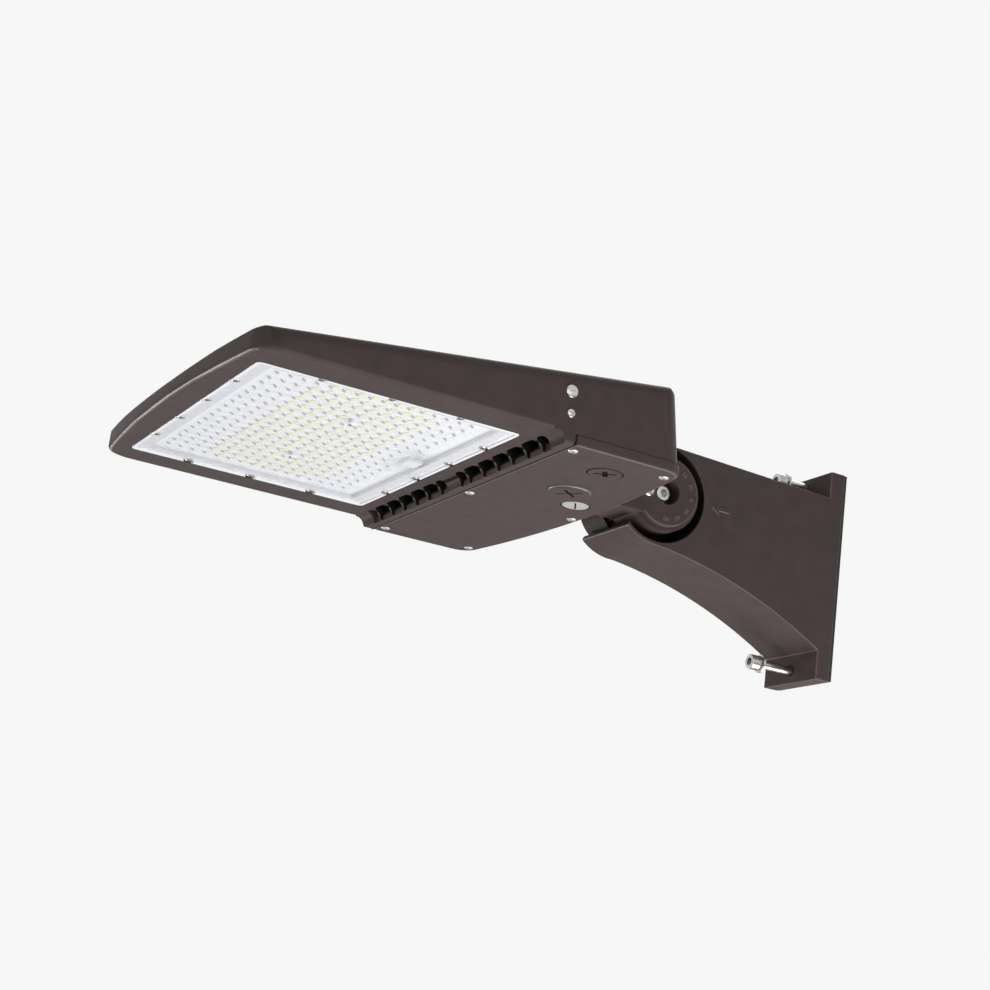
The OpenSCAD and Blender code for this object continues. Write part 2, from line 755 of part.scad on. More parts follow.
module board_connector() {
    color(plastic_white) at_pivot() difference() {
        box(-9, 9, -216, -203.5, recess_z - board_t - 3.4, recess_z - board_t);
        for (x = [-1.5, 1.5])
            box(x - 1, x + 1, -207, -203, recess_z - board_t - 2.6, recess_z - board_t - 0.8);
    }
}

// ======== driver cover ========
skin_t = 3;
seal_t = 0.4;
cover_edge_r = 2;
cover_top = bezel_z - seal_t;
port_top = -17;                  // inner end of the ports' bosses
wiring_port_r = 10.4;
sensor_port_r = 14;
breather_r = 8;
port_recess = 2.4;
wiring_head_d = 26.4;
breather_head_d = 22;
ring_gap = 1.1;                  // width of the dark ring round a flush plug

module cover_plan(inset) {
    w = half_w - 0.3 - inset;
    intersection() {
        translate([0, -head_rear]) mirror([0, 1])
            polygon(bowed(w, inset, rear_bow_r, rear_corner_r, 300));
        polygon(round_box(-w, w, cover_front + inset, 0, 2.5));
    }
}

module round_at(at, z0, z1, r) {
    translate([at[0], at[1], z0]) cylinder(h = z1 - z0, r = r);
}

module driver_cover() {
    color(bronze_light) at_pivot() difference() {
        union() {
            difference() {
                hull() {
                    translate([0, 0, cover_z]) linear_extrude(1) cover_plan(cover_edge_r);
                    translate([0, 0, cover_z + 0.3 * cover_edge_r])
                        linear_extrude(1) cover_plan(0.3 * cover_edge_r);
                    translate([0, 0, cover_z + cover_edge_r])
                        linear_extrude(cover_top - cover_z - cover_edge_r) cover_plan(0);
                }
                translate([0, 0, cover_z + skin_t]) linear_extrude(20) cover_plan(skin_t + 0.4);
            }
            intersection() {
                screw_holes(cover_screw_at, boss_r - 1, cover_z + 1, cover_top - cover_z - 1);
                translate([0, 0, cover_z]) linear_extrude(30) cover_plan(0.2);
            }
            round_at(wiring_port_at, cover_z + 1, port_top, wiring_head_d / 2 + 3);
            round_at(sensor_port_at, cover_z + 1, port_top, sensor_port_r + 4);
            round_at(breather_at, cover_z + 1, port_top, breather_head_d / 2 + 3);
        }
        round_at(wiring_port_at, cover_z - 1, port_top + 1, wiring_port_r);
        round_at(wiring_port_at, cover_z - 1, cover_z + port_recess, wiring_head_d / 2 + ring_gap);
        round_at(sensor_port_at, cover_z - 1, port_top + 1, sensor_port_r);
        round_at(breather_at, cover_z - 1, port_top + 1, breather_r);
        round_at(breather_at, cover_z - 1, cover_z + port_recess, breather_head_d / 2 + ring_gap);
        screw_holes(cover_screw_at, 2.2, cover_z - 1, 12);
        screw_holes(cover_screw_at, 4.6, cover_z - 1, 1.8);
    }
}

module cover_gasket() {
    color(rubber) at_pivot() translate([0, 0, cover_top]) linear_extrude(seal_t) difference() {
        cover_plan(0.3);
        cover_plan(3.4);
    }
}

module cover_screws() {
    color(steel) at_pivot() for (p = cover_screw_at)
        translate([p[0], p[1], cover_z + 0.8]) slot_screw(8, 1.8, 4, 15);
}

// A plus-shaped or crossed slot cut into the face of a plug
module cross_slot(length, width, turn) {
    for (a = [0, 90])
        rotate([0, 0, a + turn]) translate([-length / 2, -width / 2, -5]) cube([length, width, 6.4]);
}

module wiring_port_plug() {
    color(bronze_light) at_pivot() translate([wiring_port_at[0], wiring_port_at[1], cover_z]) difference() {
        union() {
            translate([0, 0, -0.4]) cylinder(h = port_recess - 0.6, d = wiring_head_d);
            cylinder(h = port_top - cover_z, r = wiring_port_r);
        }
        cross_slot(17, 1.8, 0);
        translate([-2.4, -2.4, -1]) cube([4.8, 4.8, 2.6]);
        translate([0, 0, 4]) cylinder(h = 30, r = wiring_port_r - 2);
    }
}

module wiring_port_seal() {
    color(rubber) at_pivot() translate([wiring_port_at[0], wiring_port_at[1], cover_z + port_recess - 1])
        ring(wiring_head_d + 2 * ring_gap, 2 * wiring_port_r, 1);
}

module sensor_port_cap() {
    cap_d = 34;
    cap_h = 3.4;
    color(bronze_light) at_pivot() translate([sensor_port_at[0], sensor_port_at[1], cover_z]) difference() {
        union() {
            translate([0, 0, -cap_h]) cylinder(h = 1.2, d1 = cap_d - 2.4, d2 = cap_d);
            translate([0, 0, -cap_h + 1.2]) cylinder(h = cap_h - 1.2, d = cap_d);
            cylinder(h = port_top - cover_z, r = sensor_port_r);
        }
        translate([0, 0, -cap_h]) cross_slot(24, 1.8, 20);
        translate([0, 0, 3]) cylinder(h = 30, r = sensor_port_r - 2);
    }
}

module breather_plug() {
    color(steel) at_pivot() translate([breather_at[0], breather_at[1], cover_z]) difference() {
        union() {
            translate([0, 0, -1]) cylinder(h = port_recess, d = breather_head_d);
            cylinder(h = port_top - cover_z, r = breather_r);
        }
        translate([-9, -0.9, -2]) cube([18, 1.8, 2.4]);
        translate([0, 0, 4]) cylinder(h = 30, r = breather_r - 2);
    }
}

module breather_seal() {
    color(rubber) at_pivot() translate([breather_at[0], breather_at[1], cover_z + port_recess - 1])
        ring(breather_head_d + 2 * ring_gap, 2 * breather_r, 1);
}

// ======== inside the driver bay ========
tab_t = 3;

// A box that hangs from the pads, with a tab at each end
module hung_box(at, size, tab_w, tab_l) {
    box(at[0] - size[0] / 2, at[0] + size[0] / 2, at[1] - size[1] / 2, at[1] + size[1] / 2,
        driver_pad_z - size[2], driver_pad_z);
    box(at[0] - size[0] / 2 - tab_l, at[0] + size[0] / 2 + tab_l, at[1] - tab_w / 2, at[1] + tab_w / 2,
        driver_pad_z - tab_t, driver_pad_z);
}

module bay_screws(list, head_d, shank_d, up) {
    color(steel) at_pivot() for (p = list)
        translate([p[0], p[1], driver_pad_z - tab_t]) slot_screw(head_d, 2.2, shank_d, tab_t + up);
}

module led_driver() {
    color(driver_grey) at_pivot() difference() {
        hung_box(driver_at, driver_size, 56, 10);
        screw_holes(driver_screw_at, 1.8, 0, 40);
    }
}

module driver_screws() { bay_screws(driver_screw_at, 7, 3.4, 7); }

module surge_protector() {
    color("#8f2f2a") at_pivot() difference() {
        hung_box(surge_at, surge_size, 16, 10);
        screw_holes(surge_screw_at, 1.8, 0, 40);
    }
}

module surge_screws() { bay_screws(surge_screw_at, 7, 3.4, 5); }

module terminal_block() {
    at = terminal_at;
    color(plastic_white) at_pivot() difference() {
        box(at[0] - terminal_size[0] / 2, at[0] + terminal_size[0] / 2, at[1] - terminal_size[1] / 2,
            at[1] + terminal_size[1] / 2, driver_pad_z - terminal_size[2], driver_pad_z);
        screw_holes(terminal_screw_at, 1.5, -20, 60);
        screw_holes(terminal_screw_at, 3.6, -20, 20 + driver_pad_z - tab_t);
        for (x = [-10, 0, 10])
            translate([at[0] + x, at[1] - 5, driver_pad_z - terminal_size[2] - 1]) cylinder(h = 5, r = 2.6);
    }
}

module terminal_screws() { bay_screws(terminal_screw_at, 6, 2.8, 4); }

// ======== gland and wires ========
module supply_gland() {
    color(rubber) at_pivot() on_rear() translate([gland_at[0], 0, gland_at[1]]) difference() {
        union() {
            rod_y(-wall_pad - 6, 1, 7.95);
            rotate([-90, 0, 0]) cylinder(h = 5, r = 12, $fn = 6);
            rod_y(5, 14, 9.6);
            rod_y(14, 16, 8);
        }
        rod_y(-wall_pad - 7, 17, 4);
    }
}

module supply_gland_nut() {
    color(rubber) at_pivot() on_rear() translate([gland_at[0], -wall_pad - 4, gland_at[1]])
        rotate([-90, 0, 0]) difference() {
            cylinder(h = 4, r = 12, $fn = 6);
            translate([0, 0, -1]) cylinder(h = 6, r = 8);
        }
}

// A wire that runs straight from point to point, with round corners
module wire(points, r) {
    for (i = [0:len(points) - 2]) {
        a = points[i];
        b = points[i + 1];
        d = b - a;
        l = norm(d);
        translate(a) rotate([0, acos(d[2] / l), atan2(d[1], d[0])])
            cylinder(h = l, r = r, $fn = 24);
        if (i > 0) translate(a) sphere(r = r + 0.15, $fn = 24);
    }
}

module board_lead() {
    z0 = recess_z - board_t - 1.7;
    color("#c03a2b") at_pivot() for (x = [-1.5, 1.5])
        wire([[x, -206.5, z0], [x, -202.4, z0], [x, -199.8, z0 + 2.6], [x, -197.4, lead_z],
            [x, driver_at[1] - driver_size[1] / 2, lead_z]], lead_r);
}

module board_lead_grommet() {
    color(rubber) at_pivot() difference() {
        box(-lead_way, lead_way, seam_y - 4, bay_front, lead_z0, lead_z1);
        for (x = [-1.5, 1.5])
            translate([x, 0, lead_z]) rod_y(seam_y - 5, bay_front + 1, lead_r);
    }
}

// Route of the lead from the driver to the terminal block
driver_route = [[driver_at[0] + driver_size[0] / 2, -100, 2], [100, -100, 2], [122, -108, 6],
    [131, -122, 8], [132, terminal_at[1] + terminal_size[1] / 2, 9]];

module driver_lead() {
    color(rubber) at_pivot() wire(driver_route, 2.5);
}

module surge_lead() {
    color(rubber) at_pivot() translate([0, -142, 4])
        rod_x(surge_at[0] + surge_size[0] / 2, terminal_at[0] - terminal_size[0] / 2, 2.2);
}

mounting_arm();
pole_gasket();
upper_mount_bolt();
upper_mount_washer();
lower_mount_bolt();
lower_mount_washer();
pivot_bolt();
pivot_washer();
pivot_nut();
pivot_nut_washer();
pivot_spacer();
arm_wire_grommet();
knuckle();
knuckle_gasket();
knuckle_screws();
dial_screw();
housing();
lens_panel();
lens_gasket();
lens_screws();
lens_center_screws();
led_board();
led_chips();
board_connector();
driver_cover();
cover_gasket();
cover_screws();
sensor_port_cap();
wiring_port_plug();
wiring_port_seal();
breather_plug();
breather_seal();
side_plug_screws();
side_lock_screws();
led_driver();
driver_screws();
surge_protector();
surge_screws();
terminal_block();
terminal_screws();
supply_gland();
supply_gland_nut();
board_lead();
board_lead_grommet();
driver_lead();
surge_lead();
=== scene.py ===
import json
import math
import bmesh
import bpy
from mathutils import Matrix, Vector


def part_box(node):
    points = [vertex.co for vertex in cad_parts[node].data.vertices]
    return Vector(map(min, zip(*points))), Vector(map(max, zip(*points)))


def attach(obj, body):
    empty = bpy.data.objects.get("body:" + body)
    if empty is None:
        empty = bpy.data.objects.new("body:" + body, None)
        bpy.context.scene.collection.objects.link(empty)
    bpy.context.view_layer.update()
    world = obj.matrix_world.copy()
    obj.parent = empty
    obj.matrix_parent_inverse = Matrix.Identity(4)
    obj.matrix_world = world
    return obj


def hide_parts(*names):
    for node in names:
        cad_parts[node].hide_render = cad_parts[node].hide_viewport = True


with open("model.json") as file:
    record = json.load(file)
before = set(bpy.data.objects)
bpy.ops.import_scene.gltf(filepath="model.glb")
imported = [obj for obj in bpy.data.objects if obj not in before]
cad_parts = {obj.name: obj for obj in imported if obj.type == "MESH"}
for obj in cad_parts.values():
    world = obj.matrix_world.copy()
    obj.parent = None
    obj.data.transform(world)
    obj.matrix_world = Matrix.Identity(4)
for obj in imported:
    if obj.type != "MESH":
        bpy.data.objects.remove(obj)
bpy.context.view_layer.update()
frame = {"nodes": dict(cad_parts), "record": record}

NODES = frame["nodes"]
SLOT_OF = {s["node"]: s["material_slot"] for s in frame["record"]["subparts"]}
MM = 0.001
RIGHT_ANGLE = math.pi / 2
SHARP = math.radians(28)                 # an edge that folds by more than this is a sharp one
UP, DOWN = (0, 0, 1), (0, 0, -1)


# ---- places ----
def middle(node):
    low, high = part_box(node)
    return (low + high) / 2


PIVOT = middle("pivot_bolt")
PIVOT.x = 0.0


def at(x, y, z):
    """A place given in millimetres from the tilt pivot."""
    return PIVOT + Vector((x, y, z)) * MM


def from_pivot(point):
    """A point's Y and Z from the tilt pivot, in millimetres."""
    return (point.y - PIVOT.y) / MM, (point.z - PIVOT.z) / MM


def off_axis(point):
    """How far a point lies from the axis of the tilt joint, in metres."""
    return math.hypot(point.y - PIVOT.y, point.z - PIVOT.z)


# ---- camera, lamps and floor ----
def photo_camera():
    right = Vector((0.462205, 0.878178, 0.123167))
    up = Vector((0.184406, -0.231042, 0.955308))
    look = Vector((-0.867388, 0.418835, 0.268730))
    camera_data = bpy.data.cameras.new("photo_camera")
    camera_data.lens = 72.01
    camera_data.sensor_width = 36.0
    camera_data.clip_start = 0.05
    camera_data.clip_end = 60.0
    camera = bpy.data.objects.new("photo_camera", camera_data)
    eye = (1.3858, -0.9862, -0.4259)
    turn = Matrix((right, up, -look)).transposed()
    camera.matrix_world = Matrix.Translation(eye) @ turn.to_4x4()
    bpy.context.scene.collection.objects.link(camera)
    bpy.context.scene.camera = camera


def soft_lamp(name, place, aim, size, watts, tint):
    lamp_data = bpy.data.lights.new(name, "AREA")
    lamp_data.shape = "RECTANGLE"
    lamp_data.size, lamp_data.size_y = size
    lamp_data.energy = watts
    lamp_data.color = tint
    lamp = bpy.data.objects.new(name, lamp_data)
    lamp.location = place
    lamp.rotation_euler = (Vector(aim) - Vector(place)).to_track_quat("-Z", "Y").to_euler()
    bpy.context.scene.collection.objects.link(lamp)


LAMPS = (                                # name, place, aim, size, watts, tint
    ("below", (0.3, 0.0, -1.1), (0, -0.3, 0.0), (1.3, 1.3), 26, (0.96, 0.98, 1.0)),
    ("low_left", (-1.4, -0.8, -0.72), (0, -0.5, 0.0), (0.5, 0.5), 5.5, (1.0, 0.99, 0.98)),
    ("near_side", (0.9, -0.45, 0.0), (0, -0.35, 0.0), (0.5, 0.5), 0.95, (1.0, 0.99, 0.98)),
    ("near_front", (0.2, -1.9, -0.15), (0, -0.4, 0.0), (0.8, 0.8), 3.8, (1.0, 0.98, 0.96)),
    ("back", (-1.0, 0.8, 1.3), (0, -0.25, 0.0), (1.2, 1.2), 16, (1.0, 1.0, 1.0)),
)
PALE = (0.93, 0.93, 0.93, 1)             # what the camera sees behind the light and under it


def backdrop():
    """Dim and even on the object, but pale to the camera, in gloss and through clear plastic."""
    world = bpy.data.worlds.new("studio")
    world.use_nodes = True
    bpy.context.scene.world = world
    tree = world.node_tree
    tree.nodes.clear()
    output = tree.nodes.new("ShaderNodeOutputWorld")
    dim = tree.nodes.new("ShaderNodeBackground")
    dim.inputs["Color"].default_value = (0.9, 0.92, 0.95, 1)
    dim.inputs["Strength"].default_value = 0.30
    pale = tree.nodes.new("ShaderNodeBackground")
    pale.inputs["Color"].default_value = PALE
    pale.inputs["Strength"].default_value = 1.0
    path = tree.nodes.new("ShaderNodeLightPath")
    seen = path.outputs["Is Camera Ray"]
    for other in ("Is Glossy Ray", "Is Transmission Ray"):
        either = tree.nodes.new("ShaderNodeMath")
        either.operation = "MAXIMUM"
        tree.links.new(seen, either.inputs[0])
        tree.links.new(path.outputs[other], either.inputs[1])
        seen = either.outputs[0]
    mix = tree.nodes.new("ShaderNodeMixShader")
    tree.links.new(seen, mix.inputs[0])
    tree.links.new(dim.outputs[0], mix.inputs[1])
    tree.links.new(pale.outputs[0], mix.inputs[2])
    tree.links.new(mix.outputs[0], output.inputs[0])


def pale_floor():
    """A wide floor that keeps the object's shadow and looks pale to the camera."""
    bpy.ops.mesh.primitive_circle_add(vertices=96, radius=9, fill_type="NGON",
                                      location=(0, -0.3, -1.15))
    floor = bpy.context.object
    floor.name = "floor"
    paint = bpy.data.materials.new("pale_floor")
    paint.use_nodes = True
    tree = paint.node_tree
    shader = tree.nodes["Principled BSDF"]
    shader.inputs["Base Color"].default_value = (0.82, 0.82, 0.82, 1)
    shader.inputs["Roughness"].default_value = 0.9
    shader.inputs["Emission Color"].default_value = PALE
    path = tree.nodes.new("ShaderNodeLightPath")
    glow = tree.nodes.new("ShaderNodeMath")
    glow.operation = "MULTIPLY"
    glow.inputs[1].default_value = 0.45
    tree.links.new(path.outputs["Is Camera Ray"], glow.inputs[0])
    tree.links.new(glow.outputs[0], shader.inputs["Emission Strength"])
    floor.data.materials.append(paint)


def studio():
    backdrop()
    for lamp in LAMPS:
        soft_lamp(*lamp)
    pale_floor()


# ---- finishes ----
class Finish:
    """A painted or moulded finish built up node by node on Object coordinates."""

    def __init__(self, name, colour, rough, metal=0.0):
        self.material = bpy.data.materials.new(name)
        self.material.use_nodes = True
        self.tree = self.material.node_tree
        self.shader = self.tree.nodes["Principled BSDF"]
        self.shader.inputs["Base Color"].default_value = (*colour, 1)
        self.shader.inputs["Roughness"].default_value = rough
        self.shader.inputs["Metallic"].default_value = metal
        self.place = self.tree.nodes.new("ShaderNodeTexCoord").outputs["Object"]
        self.height = None

    def speckle(self, scale, detail=3.0, stretch=(1, 1, 1)):
        """Noise at so many features a metre."""
        mapping = self.tree.nodes.new("ShaderNodeMapping")
        mapping.inputs["Scale"].default_value = stretch
        self.tree.links.new(self.place, mapping.inputs["Vector"])
        noise = self.tree.nodes.new("ShaderNodeTexNoise")
        noise.inputs["Scale"].default_value = scale
        noise.inputs["Detail"].default_value = detail
        noise.inputs["Roughness"].default_value = 0.55
        self.tree.links.new(mapping.outputs[0], noise.inputs["Vector"])
        return noise.outputs["Fac"]

    def ramp(self, value, low, high, dark, light):
        ramp = self.tree.nodes.new("ShaderNodeValToRGB")
        first, last = ramp.color_ramp.elements
        first.position, last.position = low, high
        first.color = (*dark, 1)
        last.color = (*light, 1)
        self.tree.links.new(value, ramp.inputs[0])
        return ramp.outputs[0]

    def span(self, value, low, high, at_low, at_high):
        span = self.tree.nodes.new("ShaderNodeMapRange")
        limits = {"From Min": low, "From Max": high, "To Min": at_low, "To Max": at_high}
        for name, number in limits.items():
            span.inputs[name].default_value = number
        self.tree.links.new(value, span.inputs["Value"])
        return span.outputs[0]

    def colour(self, value, low, high, dark, light):
        coat = self.ramp(value, low, high, dark, light)
        self.tree.links.new(coat, self.shader.inputs["Base Color"])
        return self

    def roughness(self, value, low, high, smooth, rough):
        spread = self.span(value, low, high, smooth, rough)
        self.tree.links.new(spread, self.shader.inputs["Roughness"])
        return self

    def bump(self, value, depth, strength=1.0):
        bump = self.tree.nodes.new("ShaderNodeBump")
        bump.inputs["Distance"].default_value = depth
        bump.inputs["Strength"].default_value = strength
        self.tree.links.new(value, bump.inputs["Height"])
        if self.height is not None:
            self.tree.links.new(self.height, bump.inputs["Normal"])
        self.height = bump.outputs[0]
        self.tree.links.new(self.height, self.shader.inputs["Normal"])
        return self


def bronze_powder_coat(name="bronze_powder_coat", tone=1.0, gloss=0.1, smooth=0.46, rough=0.60):
    dark = [c * tone for c in (0.070, 0.052, 0.049)]
    light = [c * tone for c in (0.082, 0.061, 0.057)]
    f = Finish(name, light, 0.5)
    f.shader.inputs["Specular IOR Level"].default_value = gloss
    f.colour(f.speckle(60, 4), 0.3, 0.7, dark, light)
    f.roughness(f.speckle(900, 2), 0.3, 0.7, smooth, rough)
    f.bump(f.speckle(1500, 2), 0.00006, 0.5).bump(f.speckle(420, 1), 0.00004, 0.35)
    return f.material


def stainless():
    f = Finish("stainless", (0.55, 0.54, 0.52), 0.28, 1.0)
    f.colour(f.speckle(160, 3), 0.35, 0.65, (0.48, 0.47, 0.45), (0.64, 0.63, 0.61))
    f.roughness(f.speckle(400, 2, stretch=(1, 0.1, 1)), 0.3, 0.7, 0.24, 0.34)
    f.bump(f.speckle(900, 2, stretch=(1, 0.15, 1)), 0.00001, 0.15)
    return f.material


def bright_nickel():
    f = Finish("bright_nickel", (0.78, 0.77, 0.75), 0.35, 0.55)
    f.colour(f.speckle(180, 3), 0.3, 0.7, (0.62, 0.61, 0.59), (0.76, 0.75, 0.73))
    f.roughness(f.speckle(900, 3), 0.3, 0.7, 0.28, 0.42)
    f.bump(f.speckle(1600, 2), 0.00003, 0.3)
    return f.material


def vent_back_light_and_shade_coat():
    """Painted light and shade on the back wall of each vent: bronze lighter than the casting's coat
    low down, as if lit, giving way higher up to near black, the painted shade of the flue.
    """
    f = Finish("vent_back_light_and_shade_coat", (0.08, 0.06, 0.056), 0.6)
    f.shader.inputs["Specular IOR Level"].default_value = 0.15
    lit_bronze_below, shade_above = at(0, 0, -25.4).z, at(0, 0, -24.9).z
    split = f.tree.nodes.new("ShaderNodeSeparateXYZ")
    f.tree.links.new(f.place, split.inputs[0])
    deep = f.span(split.outputs["Z"], lit_bronze_below, shade_above, 0.0, 1.0)
    # painted light below, painted shade of the flue above
    f.colour(deep, 0.0, 1.0, (0.125, 0.095, 0.089), (0.010, 0.008, 0.008))
    f.bump(f.speckle(1400, 2), 0.00005, 0.4)
    return f.material


def shaded_recess():
    """Painted shade: a near black coat inside the vents, behind the knuckle and in other recesses,
    where shade falls.
    """
    f = Finish("shaded_recess", (0.012, 0.009, 0.009), 0.8)
    f.shader.inputs["Specular IOR Level"].default_value = 0.1
    f.colour(f.speckle(220, 3), 0.3, 0.7, (0.007, 0.006, 0.006), (0.014, 0.011, 0.010))
    f.bump(f.speckle(1400, 2), 0.00005, 0.4)
    return f.material


def black_rubber():
    f = Finish("black_rubber", (0.014, 0.014, 0.014), 0.7)
    f.colour(f.speckle(300, 3), 0.3, 0.7, (0.010, 0.010, 0.010), (0.022, 0.021, 0.020))
    f.bump(f.speckle(1100, 3), 0.00012, 0.5)
    return f.material


def plain_plastic(name, dark, light, rough, gloss=0.5):
    f = Finish(name, light, rough)
    f.shader.inputs["Specular IOR Level"].default_value = gloss
    f.colour(f.speckle(140, 3), 0.3, 0.7, dark, light)
    f.bump(f.speckle(1300, 2), 0.00004, 0.4)
    return f.material


def clear_lens():
    f = Finish("clear_polycarbonate", (0.95, 0.95, 0.97), 0.12)
    f.shader.inputs["Alpha"].default_value = 0.12
    f.bump(f.speckle(90, 2), 0.0002, 0.3)
    f.material.blend_method = "BLEND"
    return f.material


def rail_painted_highlight():
    """The rails round the lens, painted opaque white as the highlight that a clear moulding's edge
    carries.
    """
    f = Finish("lens_rail_painted_highlight", (0.97, 0.96, 0.97), 0.2)
    f.colour(f.speckle(200, 2), 0.3, 0.7, (0.93, 0.92, 0.94), (0.98, 0.97, 0.98))
    f.roughness(f.speckle(500, 2), 0.3, 0.7, 0.12, 0.3)
    f.bump(f.speckle(240, 2), 0.0002, 0.3)
    return f.material


def milky_rim():
    """The thick rim of the lens, where the moulding looks like frosted ice."""
    f = Finish("milky_lens_rim", (0.72, 0.72, 0.76), 0.2)
    f.colour(f.speckle(120, 3), 0.3, 0.7, (0.76, 0.76, 0.80), (0.86, 0.86, 0.89))
    f.shader.inputs["Alpha"].default_value = 0.93
    f.bump(f.speckle(160, 2), 0.0002, 0.4)
    f.material.blend_method = "BLEND"
    return f.material


def optic_painted_shade():
    """Painted shade: the dim violet dash at the foot of each moulded optic."""
    f = Finish("optic_painted_shade", (0.40, 0.39, 0.45), 0.4)
    f.colour(f.speckle(400, 2), 0.3, 0.7, (0.36, 0.35, 0.41), (0.45, 0.44, 0.50))
    f.bump(f.speckle(900, 1), 0.00003, 0.3)
    return f.material


FINISH = {
    "bronze_paint": bronze_powder_coat(),
    "stainless": stainless(),
    "shaded_recess": shaded_recess(),
    "bright_nickel": bright_nickel(),
    "vent_back_light_and_shade": vent_back_light_and_shade_coat(),
    # A lighter bronze for the dial's numbers: painted highlight.
    "numeral_highlight_bronze": bronze_powder_coat("numeral_highlight_bronze", 2.6),
    # A lighter, glossier bronze on rounded edges: painted highlight.
    "edge_highlight_bronze": bronze_powder_coat("edge_highlight_bronze", 1.7, 0.3, 0.34, 0.48),
    # A lighter, glossier bronze for the front rim of the bezel: painted highlight.
    "front_rim_highlight": bronze_powder_coat("front_rim_highlight", 1.6, 0.4, 0.30, 0.42),
    # A light blue-grey for the sensor cap's rim: painted sheen.
    "cap_rim_painted_sheen": plain_plastic("cap_rim_painted_sheen", (0.17, 0.18, 0.21), (0.24, 0.25, 0.29), 0.3),
    "black_rubber": black_rubber(),
    "clear_lens": clear_lens(),
    # Opaque white on the lens's rails and screw pads: painted highlight.
    "rail_painted_highlight": rail_painted_highlight(),
    "milky_rim": milky_rim(),
    "optic_painted_shade": optic_painted_shade(),
    "white_board": plain_plastic("white_solder_mask", (0.90, 0.90, 0.92), (0.94, 0.94, 0.95), 0.4),
    "phosphor": plain_plastic("yellow_phosphor", (0.93, 0.90, 0.46), (0.97, 0.94, 0.54), 0.35),
    "white_plastic": plain_plastic("white_plastic", (0.82, 0.82, 0.83), (0.88, 0.88, 0.88), 0.5),
    "driver_case": plain_plastic("driver_case", (0.50, 0.51, 0.53), (0.58, 0.59, 0.61), 0.4),
    "red_plastic": plain_plastic("red_plastic", (0.28, 0.02, 0.015), (0.36, 0.03, 0.02), 0.45),
    "black_nylon": plain_plastic("black_nylon", (0.066, 0.050, 0.046), (0.080, 0.062, 0.057),
                                 0.6, gloss=0.05),
    "black_wire": plain_plastic("black_wire", (0.020, 0.017, 0.016), (0.030, 0.026, 0.024),
                                0.5, gloss=0.15),
    "red_wire": plain_plastic("red_wire", (0.40, 0.03, 0.02), (0.5, 0.04, 0.025), 0.45),
}


# ---- working by hand: choosing, cutting and placing ----
def fresh():
    """Nothing selected, so that the next operator acts on its own piece alone."""
    if bpy.context.object and bpy.context.object.mode == "EDIT":
        bpy.ops.object.mode_set(mode="OBJECT")
    bpy.ops.object.select_all(action="DESELECT")


def hold(piece, mode="OBJECT"):
    """Only this piece selected and active, in the mode asked for."""
    fresh()
    piece.select_set(True)
    bpy.context.view_layer.objects.active = piece
    if mode == "EDIT":
        bpy.ops.object.mode_set(mode="EDIT")


def pick_faces(piece, test):
    """In edit mode, selects the faces whose middle and normal pass the test."""
    bpy.ops.mesh.select_mode(type="FACE")
    bpy.ops.mesh.select_all(action="DESELECT")
    shape = bmesh.from_edit_mesh(piece.data)
    for face in shape.faces:
        face.select_set(bool(test(face.calc_center_median(), face.normal)))
    shape.select_flush_mode()
    bmesh.update_edit_mesh(piece.data)


def pick_edges(piece, test):
    """In edit mode, selects the edges whose two ends and fold pass the test."""
    bpy.ops.mesh.select_mode(type="EDGE")
    bpy.ops.mesh.select_all(action="DESELECT")
    shape = bmesh.from_edit_mesh(piece.data)
    for edge in shape.edges:
        fold = edge.calc_face_angle(0.0) if edge.is_manifold else 0.0
        edge.select_set(bool(test(edge.verts[0].co, edge.verts[1].co, fold)))
    bmesh.update_edit_mesh(piece.data)


def step(inset, rise):
    """Takes the selected end face in by inset and out along Z by rise."""
    if inset:
        bpy.ops.mesh.inset(thickness=inset, depth=rise)
    else:
        bpy.ops.mesh.extrude_region_move(TRANSFORM_OT_translate={"value": (0, 0, rise)})


def turned(radius, height, steps=(), sides=48, z=0.0, edge=0.0, edge_steps=2):
    """A turned blank that stands on z, its top face worked on by (inset, rise) steps."""
    fresh()
    bpy.ops.mesh.primitive_cylinder_add(vertices=sides, radius=radius, depth=height,
                                        location=(0, 0, z + height / 2))
    piece = bpy.context.object
    bpy.ops.object.transform_apply(location=True)
    hold(piece, "EDIT")
    if edge:
        pick_edges(piece, lambda a, b, fold: min(a.z, b.z) > z + height - 1e-6)
        bpy.ops.mesh.bevel(offset=edge, segments=edge_steps)
    pick_faces(piece, lambda c, n: n.z > 0.9 and c.z > z + height - 1e-6)
    for inset, rise in steps:
        step(inset, rise)
    fresh()
    return piece


def block(low, high, edge=0.0, edge_steps=2):
    """A block between two corners, with its edges rounded."""
    fresh()
    low, high = Vector(low), Vector(high)
    bpy.ops.mesh.primitive_cube_add(size=1, location=(low + high) / 2, scale=high - low)
    piece = bpy.context.object
    bpy.ops.object.transform_apply(location=True, scale=True)
    if edge:
        hold(piece, "EDIT")
        bpy.ops.mesh.select_all(action="SELECT")
        bpy.ops.mesh.bevel(offset=edge, segments=edge_steps)
        fresh()
    return piece


def carve(piece, cutter):
    """Cuts one shape out of another and clears the cutter away."""
    hold(piece)
    cut = piece.modifiers.new("cut", "BOOLEAN")
    cut.operation = "DIFFERENCE"
    cut.solver = "EXACT"
    cut.object = cutter
    bpy.ops.object.modifier_apply(modifier=cut.name)
    bpy.data.objects.remove(cutter)
    return piece


def together(pieces):
    """Joins pieces into the first of them."""
    fresh()
    for piece in pieces:
        piece.select_set(True)
    bpy.context.view_layer.objects.active = pieces[0]
    bpy.ops.object.join()
    return bpy.context.object


def turn_to(axis, spin=0.0):
    """The turn that points local +Z along an axis."""
    return Vector(axis).to_track_quat("Z", "Y").to_matrix().to_4x4() @ Matrix.Rotation(spin, 4, "Z")


